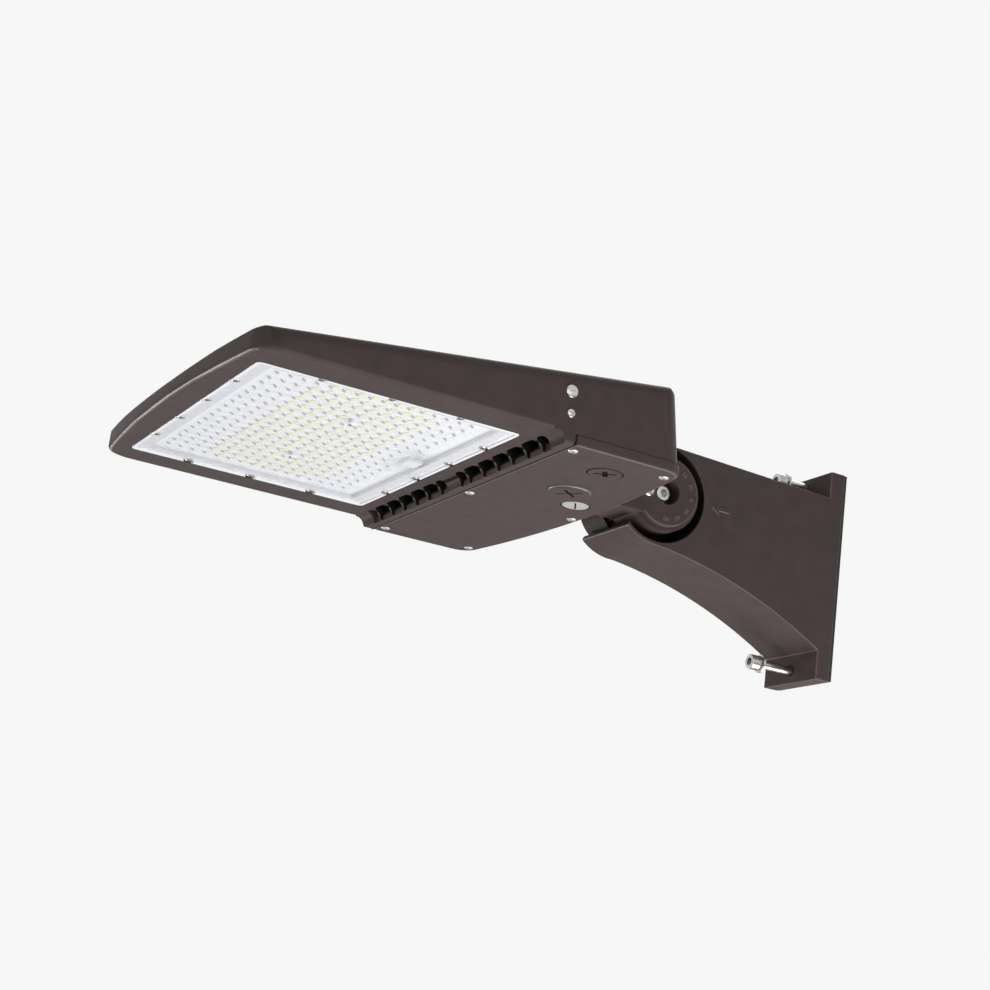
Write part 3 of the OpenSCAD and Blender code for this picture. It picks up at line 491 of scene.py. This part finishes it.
def put(piece, place, axis=UP, spin=0.0):
    """Moves a finished shape to its place and leaves its object at the origin."""
    piece.data.transform(Matrix.Translation(place) @ turn_to(axis, spin))
    return piece


def copies(piece, places, axis, spins=None):
    """The piece once at each place, each copy with its own mesh, as one object."""
    made = []
    for i, place in enumerate(places):
        twin = bpy.data.objects.new("twin", piece.data.copy())
        bpy.context.scene.collection.objects.link(twin)
        made.append(put(twin, place, axis, spins[i] if spins else 0.0))
    bpy.data.objects.remove(piece)
    return together(made)


def done(piece, name, body, nodes=(), slot=None, finish=None, angle=35, flat=False):
    """Names a finished piece, smooths it, and says what it rides on and stands for."""
    hold(piece)
    bpy.ops.object.shade_smooth_by_angle(angle=math.radians(angle))
    if flat:
        even = piece.modifiers.new("flat_faces", "WEIGHTED_NORMAL")
        even.keep_sharp = True
        bpy.ops.object.modifier_apply(modifier=even.name)
    piece.name = piece.data.name = name
    slot = slot or SLOT_OF[nodes[0]]
    if not piece.data.materials:
        piece.data.materials.append(finish or FINISH[slot])
    for i, coat in enumerate(piece.data.materials):
        if coat is None:
            piece.data.materials[i] = piece.data.materials[0]
    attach(piece, body)
    if nodes:
        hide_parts(*nodes)
    return piece


# ---- castings ----
ARM_HALF = 37.5 * MM                     # half the arm's width
POCKET_R = 40 * MM                       # radius of the arm's pocket, round the pivot
DIAL_R = 29 * MM
DIAL_FACE_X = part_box("knuckle")[1].x - 0.5 * MM      # under the raised index dash
VENTS_X = 150 * MM                       # the vents lie within this of the middle
VENTS_Y, VENTS_Z = (-178, -162.5), -23.5
VENT_BACK_Y, VENT_BACK_Z = (-168.5, -166.5), -20
FRONT_RIM_Y, FRONT_RIM_Z = -404, (-21.3, -20.0)
# The dark lip stands in the seam as its painted shadow.
SEAM_SHADOW_LIP = ((-179.4, -161.9, -29.84), (179.9, -160.15, -21.6))       # two corners of the lip
COVER_FACE = -29.8
WIRING_PLUG, SENSOR_CAP, BREATHER = (135.4, -109.6), (73, -104.5), (38.7, -79.7)
GROOVES = ((*WIRING_PLUG, 15.1), (*BREATHER, 12.1))  # ring-shaped grooves: place, outer radius


def cast_copy(node, *extra):
    """A copy of a casting's own shape, merged, its flat faces made whole, left in edit mode."""
    piece = bpy.data.objects.new(node + "_casting", NODES[node].data.copy())
    piece.data.materials.clear()
    for finish in (SLOT_OF[node], *extra):
        piece.data.materials.append(FINISH[finish])
    bpy.context.scene.collection.objects.link(piece)
    hold(piece)
    bpy.ops.mesh.customdata_custom_splitnormals_clear()
    hold(piece, "EDIT")
    bpy.ops.mesh.select_all(action="SELECT")
    bpy.ops.mesh.remove_doubles(threshold=2e-5)
    bpy.ops.mesh.dissolve_limited(angle_limit=math.radians(0.8))
    return piece


def round_edges(piece, width, test):
    """Rounds the chosen edges and leaves the round in the piece's second finish, a lighter bronze
    that paints the edge's highlight.
    """
    pick_edges(piece, test)
    bpy.ops.mesh.bevel(offset=width, segments=2, clamp_overlap=False, material=1)


def paint_faces(piece, test, finish):
    """Gives the chosen faces another finish than the rest of their piece."""
    if not piece.data.materials:
        piece.data.materials.append(FINISH["bronze_paint"])
    piece.data.materials.append(FINISH[finish])
    hold(piece, "EDIT")
    pick_faces(piece, test)
    piece.active_material_index = len(piece.data.materials) - 1
    bpy.ops.object.material_slot_assign()
    fresh()


def arm_casting():
    piece = cast_copy("mounting_arm", "edge_highlight_bronze")

    def outer(a, b, fold):
        side = all(abs(abs(p.x) - ARM_HALF) < 0.1 * MM for p in (a, b))
        return fold > SHARP and side and (a - b).length > 0.3 * MM

    def pocket_wall(c, n):
        out = Vector((0, c.y - PIVOT.y, c.z - PIVOT.z))
        return c.x > -4 * MM and abs(out.length - POCKET_R) < 1 * MM and n.dot(out) < 0

    def pocket_floor(c, n):
        return abs(n.x) > 0.9 and c.x < 10 * MM and off_axis(c) < POCKET_R + 5 * MM

    # The arm's outer edges are rounded and their rounds painted as highlight.
    round_edges(piece, 0.8 * MM, outer)
    # The arm's pocket round the dial gets painted shade.
    paint_faces(piece, lambda c, n: pocket_wall(c, n) or pocket_floor(c, n), "shaded_recess")
    return done(piece, "arm_casting", "arm", ["mounting_arm"], flat=True)


def knuckle_casting():
    piece = cast_copy("knuckle", "edge_highlight_bronze")

    def dial_rim(a, b, fold):
        on_face = all(abs(p.x - DIAL_FACE_X) < 0.1 * MM for p in (a, b))
        on_rim = all(abs(off_axis(p) - DIAL_R) < 0.3 * MM for p in (a, b))
        return fold > SHARP and on_face and on_rim

    # The dial's rim is rounded and its round painted as highlight.
    round_edges(piece, 1.1 * MM, dial_rim)
    return done(piece, "knuckle_casting", "head", ["knuckle"], flat=True)


def housing_casting():
    piece = cast_copy("housing")

    def in_vent(c, n):
        y, z = from_pivot(c)
        return (VENTS_Y[0] < y < VENTS_Y[1] and z > VENTS_Z
                and abs(n.z) < 0.9 and abs(c.x) < VENTS_X)

    # The back walls of the vents, which get painted light low down and painted shade above.
    def vent_back_light_and_shade(c, n):
        y, z = from_pivot(c)
        return (VENT_BACK_Y[0] < y < VENT_BACK_Y[1] and z < VENT_BACK_Z
                and n.y < -0.9 and abs(c.x) < VENTS_X)

    # The front rim of the bezel, painted as a highlight.
    def front_rim_highlight(c, n):
        y, z = from_pivot(c)
        return y < FRONT_RIM_Y and n.z < -0.6 and FRONT_RIM_Z[0] < z < FRONT_RIM_Z[1]

    # The insides of the vents get painted shade.
    paint_faces(piece, in_vent, "shaded_recess")
    paint_faces(piece, vent_back_light_and_shade, "vent_back_light_and_shade")
    paint_faces(piece, front_rim_highlight, "front_rim_highlight")
    return done(piece, "housing_casting", "head", ["housing"], angle=50, flat=True)


def cover_gasket():
    """Flat gasket above the driver cover in the near black of painted shade, with a dark lip that
    fills the seam ahead of it as its painted shadow.
    """
    piece = cast_copy("cover_gasket")
    piece.data.materials.clear()
    piece.data.materials.append(FINISH["shaded_recess"])
    fresh()
    # A dark block in the seam: painted shadow.
    lip = block(at(*SEAM_SHADOW_LIP[0]), at(*SEAM_SHADOW_LIP[1]), 0.25 * MM)
    return done(together([piece, lip]), "cover_gasket_and_seam_shadow", "head", ["cover_gasket"])


def cover_casting():
    piece = cast_copy("driver_cover")
    face = at(0, 0, COVER_FACE).z

    def bottom_edge(c, n):
        return -0.97 < n.z < -0.5 and face + 0.05 * MM < c.z < face + 0.58 * MM

    def ring_groove(c, n):
        near = min(math.hypot(c.x - x * MM, c.y - PIVOT.y - y * MM) - r * MM
                   for x, y, r in GROOVES)
        return near < 0.3 * MM and c.z > face + 0.1 * MM

    # The cover's rounded bottom edge gets painted highlight.
    paint_faces(piece, bottom_edge, "edge_highlight_bronze")
    # Painted shade in the gaps round the wiring plug and the breather.
    paint_faces(piece, ring_groove, "shaded_recess")
    return done(piece, "driver_cover_casting", "head", ["driver_cover"], angle=50, flat=True)


# ---- dial ----
MARK_RING_R, MARK_SIZE = 22.5 * MM, 5.2 * MM
FIRST_MARK, MARK_GAP = 51, 28            # degrees round the dial


def dial_numbers():
    """Raised degree marks round the dial, their backs a little below the casting's face, in a
    lighter bronze that paints their highlights.
    """
    upright = Matrix(((0, 0, 1), (1, 0, 0), (0, 1, 0))).to_4x4()
    marks = []
    for i, words in enumerate(("60", "30", "0", "30", "60", "90")):
        fresh()
        bpy.ops.object.text_add()
        text = bpy.context.object
        text.data.body = words
        text.data.size = MARK_SIZE
        text.data.extrude = 0.3 * MM
        text.data.bevel_depth = 0.06 * MM
        text.data.align_x = "CENTER"
        text.data.align_y = "CENTER"
        text.data.resolution_u = 3
        bpy.ops.object.convert(target="MESH")
        mark = bpy.context.object
        angle = math.radians(FIRST_MARK - MARK_GAP * i)
        place = Vector((DIAL_FACE_X + 0.2 * MM, PIVOT.y + MARK_RING_R * math.cos(angle),
                        PIVOT.z + MARK_RING_R * math.sin(angle)))
        lean = Matrix.Rotation(angle - RIGHT_ANGLE, 4, "X")
        mark.data.transform(Matrix.Translation(place) @ lean @ upright)
        marks.append(mark)
    return done(together(marks), "dial_numbers", "head", slot="bronze_paint",
                finish=FINISH["numeral_highlight_bronze"])


# ---- fasteners ----
M8_R, M8_HEAD, M8_PITCH = 4 * MM, 8 * MM, 1.25 * MM
FLUTES = 36                              # round the grip of a socket head
MOUNT_THREAD, PIVOT_THREAD = 21 * MM, 20 * MM        # length of thread at a bolt's end
# screws in millimetres: head radius, head height, shank radius, shank length
COVER_SCREW = (4, 1.8, 2, 15)
LENS_SCREW = (3.2, 1.4, 1.6, 7.5)
LENS_MIDDLE_SCREW = (3.2, 1.4, 1.6, 8.5)
DIAL_SCREW = (5.5, 3.4, 2.5, 12)
SIDE_PLUG_SCREW = (4.8, 1.8, 2.5, 9)
SIDE_LOCK_SCREW = (3.15, 1.4, 1.5, 7)


def hex_socket(piece, across, top, depth):
    """Cuts a six-sided socket into a head's top."""
    fresh()
    bpy.ops.mesh.primitive_cylinder_add(vertices=6, radius=across / math.sqrt(3), depth=2 * depth,
                                        location=(0, 0, top))
    key = bpy.context.object
    bpy.ops.object.transform_apply(location=True)
    return carve(piece, key)


def knurled_head(radius, height):
    """A socket head with a fluted grip, a rounded rim and a six-sided socket."""
    head = turned(radius, height, edge=0.6 * MM, edge_steps=3, sides=2 * FLUTES)
    hold(head, "EDIT")
    flute_area = 0.2 * height * radius * math.pi / FLUTES
    every_other = set()
    for face in bmesh.from_edit_mesh(head.data).faces:
        centre = face.calc_center_median()
        if abs(face.normal.z) < 0.1 and face.calc_area() > flute_area:
            turn = math.atan2(centre.y, centre.x) * FLUTES / math.pi
            if round(turn - 0.5) % 2 == 0:
                every_other.add(tuple(round(c, 7) for c in centre))
    pick_faces(head, lambda c, n: tuple(round(v, 7) for v in c) in every_other)
    bpy.ops.mesh.inset(thickness=0.05 * MM, depth=-0.22 * MM, use_individual=True)
    fresh()
    return hex_socket(head, radius, height, height * 0.55)


def helix(radius, ridge, pitch, turns, z, sides=3, steps=20):
    """A ridge wound round the Z axis from z upwards, for a thread or a spring washer."""
    fresh()
    bpy.ops.mesh.primitive_circle_add(vertices=sides, radius=ridge, rotation=(RIGHT_ANGLE, 0, 0),
                                      location=(radius, 0, z))
    coil = bpy.context.object
    bpy.ops.object.transform_apply(location=True, rotation=True)
    wind = coil.modifiers.new("wind", "SCREW")
    wind.axis = "Z"
    wind.angle = 2 * math.pi * min(turns, 1)
    wind.screw_offset = pitch * min(turns, 1)
    wind.iterations = max(1, int(turns))
    wind.steps = wind.render_steps = steps
    wind.use_merge_vertices = True
    wind.merge_threshold = 1e-6
    bpy.ops.object.modifier_apply(modifier="wind")
    hold(coil, "EDIT")
    bpy.ops.mesh.select_all(action="SELECT")
    bpy.ops.mesh.remove_doubles(threshold=1e-6)
    bpy.ops.mesh.select_all(action="DESELECT")
    bpy.ops.mesh.select_mode(type="EDGE")
    bpy.ops.mesh.select_non_manifold()
    bpy.ops.mesh.edge_face_add()
    bpy.ops.mesh.select_all(action="SELECT")
    bpy.ops.mesh.normals_make_consistent(inside=False)
    fresh()
    return coil


def threaded_shank(length, plain):
    """An M8 shank down from z = 0, plain under the head and threaded at its end."""
    ridge = M8_PITCH * 0.52
    core = M8_R - 1.5 * ridge
    neck = turned(M8_R, plain, z=-plain)
    body = turned(core, length - 0.4 * MM, z=-length + 0.4 * MM, sides=32)
    point = turned(core, 0.4 * MM, z=-length, sides=32)
    turns = int((length - plain) / M8_PITCH)
    thread = helix(M8_R - ridge, ridge, M8_PITCH, turns, -length + M8_PITCH * 0.4)
    return together([neck, body, point, thread])


def split_washer(inner, width, thick, z):
    return helix(inner + width / 2, thick * 0.7, 0.35 * MM, 0.97, z + thick / 2, sides=4, steps=40)


def flat_washer(outer, inner, thick, z):
    plate = turned(outer, thick, z=z, sides=64, edge=0.2 * MM)
    hole = turned(inner, 3 * thick, z=z - thick, sides=48)
    return carve(plate, hole)


def mounting_bolt(which):
    """An M8 socket head bolt, its head towards -Y, with its two washers under the head."""
    low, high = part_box(which + "_mount_bolt")
    centre = middle(which + "_mount_bolt")
    seat = Vector((centre.x, low.y + M8_HEAD, centre.z))
    length = high.y - seat.y
    head = knurled_head((high.x - low.x) / 2, M8_HEAD)
    shank = threaded_shank(length, length - MOUNT_THREAD)
    bolt = put(together([head, shank]), seat, (0, -1, 0))
    done(bolt, which + "_bolt", which + "_bolt", [which + "_mount_bolt"], angle=30)
    split, flat = 2 * MM, 1.6 * MM       # how thick the two washers are
    washers = together([split_washer(M8_R, 2.2 * MM, split, -split),
                        flat_washer(8 * MM, M8_R + 0.1 * MM, flat, -split - flat)])
    put(washers, seat, (0, -1, 0))
    done(washers, which + "_washers", which + "_bolt", [which + "_mount_washer"], angle=30)


def pan_head(radius, height, recess):
    """A domed screw head that stands up from z = 0, with a cross or a slot in it."""
    head = turned(radius, height * 0.45,
                  [(radius * 0.10, height * 0.22), (radius * 0.18, height * 0.18),
                   (radius * 0.24, height * 0.12), (radius * 0.2, height * 0.03)], sides=32)
    slotted = recess == "slot"
    arm, wall = radius * (1.2 if slotted else 0.48), radius * 0.11
    for turn in ((0,) if slotted else (0, RIGHT_ANGLE)):
        blade = block((-arm, -wall, height * 0.5), (arm, wall, height * 2))
        blade.data.transform(Matrix.Rotation(turn, 4, "Z"))
        carve(head, blade)
    return head


def screw(size, recess="cross"):
    """A whole screw of one of the sizes above, its head up from z = 0."""
    radius, height, shank_r, length = (number * MM for number in size)
    head = pan_head(radius, height, recess)
    return together([head, turned(shank_r, length, z=-length, sides=24)])


def screw_row(node, name, places, size, recess="cross", turns=None, plated=False):
    """The same screw at each place, its head down, each with a turn of its own."""
    radius, height = size[0] * MM, size[1] * MM
    piece = screw(size, recess)
    if plated:
        piece.data.materials.append(FINISH["bright_nickel"])
        paint_faces(piece, lambda c, n: (height * 0.4 < c.z < height * 0.75
                                         and math.hypot(c.x, c.y) < radius * 0.6),
                    "shaded_recess")
    spins = turns or [0.5 + 1.7 * i for i in range(len(places))]
    return done(copies(piece, places, DOWN, spins), name, "head", [node], angle=40)


# ---- lens and board ----
LENS_X, LENS_FRONT, LENS_REAR = 145.4, -396.2, -187.8
LENS_FACE, LENS_BACK, BOARD_FACE = -19.9, -17.4, -16
LENS_MID_Y = -292.0
RIM_W, SIDE_RIM_W = 13.0, 9.6            # width of the frosted margin at the ends and at the sides
FRONT_SCREW_X = (-90, -30, 30, 90)
SIDE_SCREW_Y = (-54.8, 0, 54.8)
ROWS = [15.0 * i for i in range(-8, 9)]
COLUMNS = [-372.05 + 10.386 * i for i in range(16)]
MID_X, MID_Y = 60.0, COLUMNS[8]
EDGE_SCREWS = ([(x, y) for y in (-392, -192) for x in FRONT_SCREW_X]
               + [(s * 141.2, LENS_MID_Y + y) for s in (1, -1) for y in SIDE_SCREW_Y])
BULGE_X, BULGE_FRONT, BULGE_REAR = 26.0, -221.5, -193.5
LEAD_GAP = 4.5                           # half the gap that the board's lead goes through
CHIP_SHIFT = (2.2, 3.8)                  # the lens bends the picture of a chip this far aside
FOOT_SHIFT = -1.5                        # and that of an optic's foot this far along X
FOOT_TURN = math.radians(-35.4)


def at_middle_screw(x, y):
    return abs(abs(x) - MID_X) < 1 and abs(y - MID_Y) < 1


def bump_places():
    return [(x, y) for y in COLUMNS for x in ROWS
            if not at_middle_screw(x, y) and not (abs(x) < BULGE_X + 3 and y > BULGE_FRONT - 4)]


def chip_places():
    lit = COLUMNS[3:13]
    return [(x, y) for y in lit for x in ROWS
            if not at_middle_screw(x, y) and not (abs(x) > ROWS[-1] - 1 and y in (lit[0], lit[-1]))]


def lens_bump():
    """One moulded optic that faces down: a low round bump."""
    fresh()
    bpy.ops.mesh.primitive_cylinder_add(vertices=12, radius=3.5 * MM, depth=0.6 * MM)
    bump = bpy.context.object
    bpy.ops.object.transform_apply(location=True)
    hold(bump, "EDIT")
    pick_faces(bump, lambda c, n: n.z > 0.9)
    for shrink, rise in ((0.90, 0.35), (0.76, 0.25), (0.60, 0.10)):      # the dome's steps
        bpy.ops.mesh.extrude_region_move(TRANSFORM_OT_translate={"value": (0, 0, rise * MM)})
        bpy.ops.transform.resize(value=(shrink, shrink, 1))
    fresh()
    bump.data.transform(Matrix.Rotation(math.pi, 4, "X"))
    return bump


def optic_shade_patch():
    """A long, thin patch on the board at each optic, in the dim violet of the painted shade that
    the optic shows.
    """
    foot = turned(1.1 * MM, 0.2 * MM, [(0.12 * MM, 0.08 * MM)], sides=12)
    foot.data.transform(Matrix.Rotation(FOOT_TURN, 4, "Z") @ Matrix.Diagonal((3.5, 1.2, -1, 1)))
    foot.data.flip_normals()
    return foot


def coated(piece, finish):
    """Puts a piece's finish on before it is joined to others."""
    piece.data.materials.append(FINISH[finish])
    return piece


def lens_ring(outer, inner, low, high, corner):
    """A flat frame between two heights. Its outer and inner edges stand in from the lens's edge
    by the two numbers given, at the ends and at the sides."""
    def slab(inset, z_low, z_high, radius):
        end, side = inset
        piece = block(at(side - LENS_X, LENS_FRONT + end, z_low),
                      at(LENS_X - side, LENS_REAR - end, z_high))
        hold(piece, "EDIT")
        pick_edges(piece, lambda a, b, fold: abs(a.z - b.z) > 0.1 * MM)
        bpy.ops.mesh.bevel(offset=radius, segments=5)
        fresh()
        return piece

    return carve(slab(outer, low, high, corner), slab(inner, low - 1, high + 1, 1.5 * MM))


def lens_sheet():
    """The lens's sheet, thinned from behind inside its thick margin."""
    sheet = block(at(-LENS_X, LENS_FRONT, LENS_FACE), at(LENS_X, LENS_REAR, LENS_BACK))
    hold(sheet, "EDIT")
    pick_faces(sheet, lambda c, n: n.z > 0.9)
    step(8.4 * MM, 0)
    step(0, -1.9 * MM)
    pick_edges(sheet, lambda a, b, fold: (abs(a.z - b.z) > 1 * MM
                                          and abs(abs(a.x) - LENS_X * MM) < 0.1 * MM))
    bpy.ops.mesh.bevel(offset=4.6 * MM, segments=5)
    fresh()
    return sheet


def lens_rails():
    """The rails that stand round the lens, white with painted highlight, with a round gap at each
    edge screw.
    """
    rails = lens_ring((0.3, 0.3), (2.8, 2.8), LENS_FACE - 1.65, LENS_FACE + 0.4, 4.4 * MM)
    hold(rails, "EDIT")
    lower_edge = at(0, 0, LENS_FACE - 1.5).z
    pick_edges(rails, lambda a, b, fold: max(a.z, b.z) < lower_edge and fold > SHARP)
    bpy.ops.mesh.bevel(offset=0.35 * MM, segments=2)
    fresh()
    gaps = [put(turned(5 * MM, 2.6 * MM, sides=28), at(x, y, LENS_FACE - 2))
            for x, y in EDGE_SCREWS]
    return carve(rails, together(gaps))


def lens_bulge():
    """The smooth field that stands out of the lens near its rear edge."""
    bulge = block(at(-BULGE_X, BULGE_FRONT, LENS_FACE - 1.3),
                  at(BULGE_X, BULGE_REAR, LENS_FACE + 0.2))
    face = at(0, 0, LENS_FACE).z
    hold(bulge, "EDIT")
    pick_edges(bulge, lambda a, b, fold: max(a.z, b.z) < face or abs(a.z - b.z) > 1 * MM)
    bpy.ops.mesh.bevel(offset=1.1 * MM, segments=2)
    fresh()
    return bulge


def lens_margin():
    """The frosted margin, with a low lip towards the board and a gap for the board's lead."""
    rim = (RIM_W, SIDE_RIM_W)
    margin = lens_ring((2.7, 2.7), rim, LENS_FACE - 0.25, LENS_BACK - 0.2, 1.5 * MM)
    lip = lens_ring([w - 1.2 for w in rim], rim, LENS_BACK - 0.4, LENS_BACK + 1.3, 1.8 * MM)
    for part in (margin, lip):
        carve(part, block(at(-LEAD_GAP, LENS_REAR - 14, LENS_FACE + 0.7),
                          at(LEAD_GAP, LENS_REAR - 1, LENS_BACK + 3)))
    return together([margin, lip])


def middle_screw_pads():
    """The ring under each of the two screws in the middle of the lens, white with painted
    highlight.
    """
    steps = [(0.7 * MM, 0.25 * MM), (0.8 * MM, -0.25 * MM)]
    pads = [put(turned(4.6 * MM, 0.5 * MM, steps, sides=32), at(x, MID_Y, LENS_FACE + 0.1), DOWN)
            for x in (MID_X, -MID_X)]
    return together(pads)


def lens_panel():
    bumps = copies(lens_bump(), [at(x, y, LENS_FACE) for x, y in bump_places()], UP)
    # Painted shade patches on the board, one for each optic.
    spots = [at(x + FOOT_SHIFT, y, BOARD_FACE - 0.05) for x, y in bump_places()]
    shade_patches = copies(optic_shade_patch(), spots, UP)
    # A thin dark strip along the bulge's near wall: painted reflection.
    bulge_painted_reflection = block(at(22.9, -217.1, LENS_FACE - 1.6), at(24.3, -203.2, LENS_FACE - 1.2), 0.15 * MM)
    lens = together([coated(lens_sheet(), "clear_lens"), coated(lens_bulge(), "clear_lens"),
                     coated(bumps, "clear_lens"), coated(lens_rails(), "rail_painted_highlight"),
                     coated(middle_screw_pads(), "rail_painted_highlight"),
                     coated(lens_margin(), "milky_rim"),
                     coated(together([shade_patches, bulge_painted_reflection]), "optic_painted_shade")])
    return done(lens, "lens", "head", ["lens_panel"], angle=30)


def led_chips():
    """A square base under a flat yellow dome, once for every lit optic, beside its foot."""
    base = block((-2.3 * MM, -2.3 * MM, -0.1 * MM), (2.3 * MM, 2.3 * MM, 0.4 * MM), 0.15 * MM, 1)
    dome = turned(3.3 * MM, 0.35 * MM,
                  [(0.5 * MM, 0.25 * MM), (0.9 * MM, 0.15 * MM), (0.9 * MM, 0.05 * MM)],
                  sides=12, z=0.2 * MM)
    along, across = CHIP_SHIFT
    spots = [at(x + along, y + across, BOARD_FACE) for x, y in chip_places()]
    chips = copies(together([base, dome]), spots, DOWN)
    return done(chips, "led_domes", "head", ["led_chips"], angle=50)


# ---- plugs in the driver cover ----
def slot_in(piece, length, width, depth, top, turn):
    """Cuts a straight slot across a plug's face. Returns the test that picks its inner faces."""
    blade = block((-length / 2, -width / 2, top - depth), (length / 2, width / 2, top + 5 * MM))
    twist = Matrix.Rotation(math.radians(turn), 4, "Z")
    blade.data.transform(twist)
    carve(piece, blade)

    def inside(c, n):
        x, y, z = twist.inverted() @ c
        return abs(x) < length / 2 + 1e-5 and abs(y) < width / 2 + 1e-5 and z < top - 0.1 * MM

    return inside


def hollow_stem(radius, length, start, sides):
    """The part of a plug behind its face, a tube that is open at its far end."""
    stem = turned(radius, length, [(2 * MM, 0), (0, -8 * MM)], sides=sides)
    stem.data.transform(Matrix.Rotation(math.pi, 4, "X") @ Matrix.Translation((0, 0, start)))
    return stem


def wiring_plug():
    """Flush plug with a thin slot and a wide one across it."""
    top = 0.35 * MM
    plug = turned(13.2 * MM, 1.3 * MM,
                  [(0.25 * MM, 0.2 * MM), (0.6 * MM, 0.05 * MM), (0.9 * MM, -0.1 * MM)],
                  sides=72, z=top - 1.4 * MM)
    thin = slot_in(plug, 18 * MM, 2.1 * MM, 1.0 * MM, top, -53)
    wide = slot_in(plug, 13 * MM, 4.0 * MM, 1.0 * MM, top, -150)
    paint_faces(plug, lambda c, n: thin(c, n) or wide(c, n), "shaded_recess")
    plug = together([plug, hollow_stem(10.4 * MM, 11.6 * MM, 0.9 * MM, 48)])
    put(plug, at(*WIRING_PLUG, COVER_FACE), DOWN)
    return done(plug, "wiring_plug", "head", ["wiring_port_plug"])


def sensor_cap():
    """Raised cap with a soft rim, painted a light blue-grey as the sheen it catches, a deep slot
    and a faint one across it.
    """
    top = 2.4 * MM
    cap = turned(16.9 * MM, 1.1 * MM,
                 [(0.5 * MM, 0.6 * MM), (0.7 * MM, 0.5 * MM), (0.7 * MM, 0.2 * MM), (1.2 * MM, 0)],
                 sides=96)
    deep = slot_in(cap, 19 * MM, 2.2 * MM, 1.2 * MM, top, -128)
    slot_in(cap, 23 * MM, 1.8 * MM, 0.5 * MM, top, -38)
    # The cap's rim gets a painted sheen.
    paint_faces(cap, lambda c, n: n.z < 0.72 and math.hypot(c.x, c.y) > 14.9 * MM, "cap_rim_painted_sheen")
    paint_faces(cap, deep, "shaded_recess")
    cap = together([cap, hollow_stem(14 * MM, 11.7 * MM, 0, 64)])
    put(cap, at(*SENSOR_CAP, COVER_FACE), DOWN)
    return done(cap, "sensor_cap", "head", ["sensor_port_cap"])


def breather():
    """Plated disc with a chamfered rim and one straight slot."""
    disc = turned(10.9 * MM, 2.0 * MM, [(0.7 * MM, 0.35 * MM), (0.8 * MM, 0)], sides=64,
                  z=-2.15 * MM)
    disc.data.materials.append(FINISH["bright_nickel"])
    cut = slot_in(disc, 18 * MM, 1.3 * MM, 1.1 * MM, 0.2 * MM, -152)
    paint_faces(disc, cut, "shaded_recess")
    disc = together([disc, hollow_stem(8 * MM, 12 * MM, 1.5 * MM, 40)])
    put(disc, at(*BREATHER, COVER_FACE), DOWN)
    return done(disc, "breather", "head", ["breather_plug"])


# ---- screws on the head ----
COVER_SCREWS = ((165, -154.5), (0, -155.5), (-165, -154.5), (162, -74), (0, -61), (-162, -74))
COVER_SCREW_Z = -29.0
SIDE_X = 180                             # the side walls' distance from the middle
SIDE_PLUG_PLACE, SIDE_LOCK_PLACE = (-169.1, 9.1), (-167.7, -7.4)


def head_screws():
    screw_row("cover_screws", "cover_screw_heads",
              [at(x, y, COVER_SCREW_Z) for x, y in COVER_SCREWS], COVER_SCREW, plated=True)
    screw_row("lens_screws", "lens_screw_heads",
              [at(x, y, LENS_FACE) for x, y in EDGE_SCREWS], LENS_SCREW)
    screw_row("lens_center_screws", "lens_middle_screw_heads",
              [at(x, MID_Y, LENS_FACE) for x in (MID_X, -MID_X)], LENS_MIDDLE_SCREW,
              recess="slot", turns=(0.25, 0.3), plated=True)


def dial_screw():
    place = middle("dial_screw")
    place.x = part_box("dial_screw")[1].x - DIAL_SCREW[1] * MM
    piece = put(screw(DIAL_SCREW), place, (1, 0, 0), 0.5)
    return done(piece, "dial_screw_head", "head", ["dial_screw"], angle=40)


def side_screws(node, name, place, size, recess):
    """The same screw in both side walls."""
    pair = [put(screw(size, recess), at(s * SIDE_X, *place), (s, 0, 0), 0.4) for s in (1, -1)]
    return done(together(pair), name, "head", [node], angle=40)


def pivot_bolt():
    low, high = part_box("pivot_bolt")
    length = high.x - low.x - M8_HEAD
    head = knurled_head((high.y - low.y) / 2, M8_HEAD)
    bolt = together([head, threaded_shank(length, length - PIVOT_THREAD)])
    put(bolt, (high.x - M8_HEAD, PIVOT.y, PIVOT.z), (1, 0, 0), 0.3)
    return done(bolt, "pivot_bolt_head", "arm", ["pivot_bolt"], angle=30)


def pivot_nut():
    fresh()
    bpy.ops.mesh.primitive_cylinder_add(vertices=6, radius=7.4 * MM, depth=6.5 * MM)
    nut = bpy.context.object
    carve(nut, turned(M8_R + 0.02 * MM, 9 * MM, z=-4.5 * MM, sides=32))
    put(nut, (middle("pivot_nut").x, PIVOT.y, PIVOT.z), (-1, 0, 0), 0.2)
    return done(nut, "pivot_lock_nut", "arm", ["pivot_nut"], angle=30)


def finish_cad_nodes():
    """Gives every CAD node the finish of its material slot."""
    for name, node in NODES.items():
        node.data.materials.clear()
        node.data.materials.append(FINISH[SLOT_OF[name]])


bpy.context.scene.view_settings.view_transform = "Standard"
photo_camera()
studio()
finish_cad_nodes()
arm_casting()
knuckle_casting()
housing_casting()
cover_casting()
cover_gasket()
dial_numbers()
for which in ("upper", "lower"):
    mounting_bolt(which)
pivot_bolt()
pivot_nut()
lens_panel()
led_chips()
wiring_plug()
sensor_cap()
breather()
head_screws()
dial_screw()
side_screws("side_plug_screws", "side_plug_heads", SIDE_PLUG_PLACE, SIDE_PLUG_SCREW, "slot")
side_screws("side_lock_screws", "side_lock_heads", SIDE_LOCK_PLACE, SIDE_LOCK_SCREW, "cross")
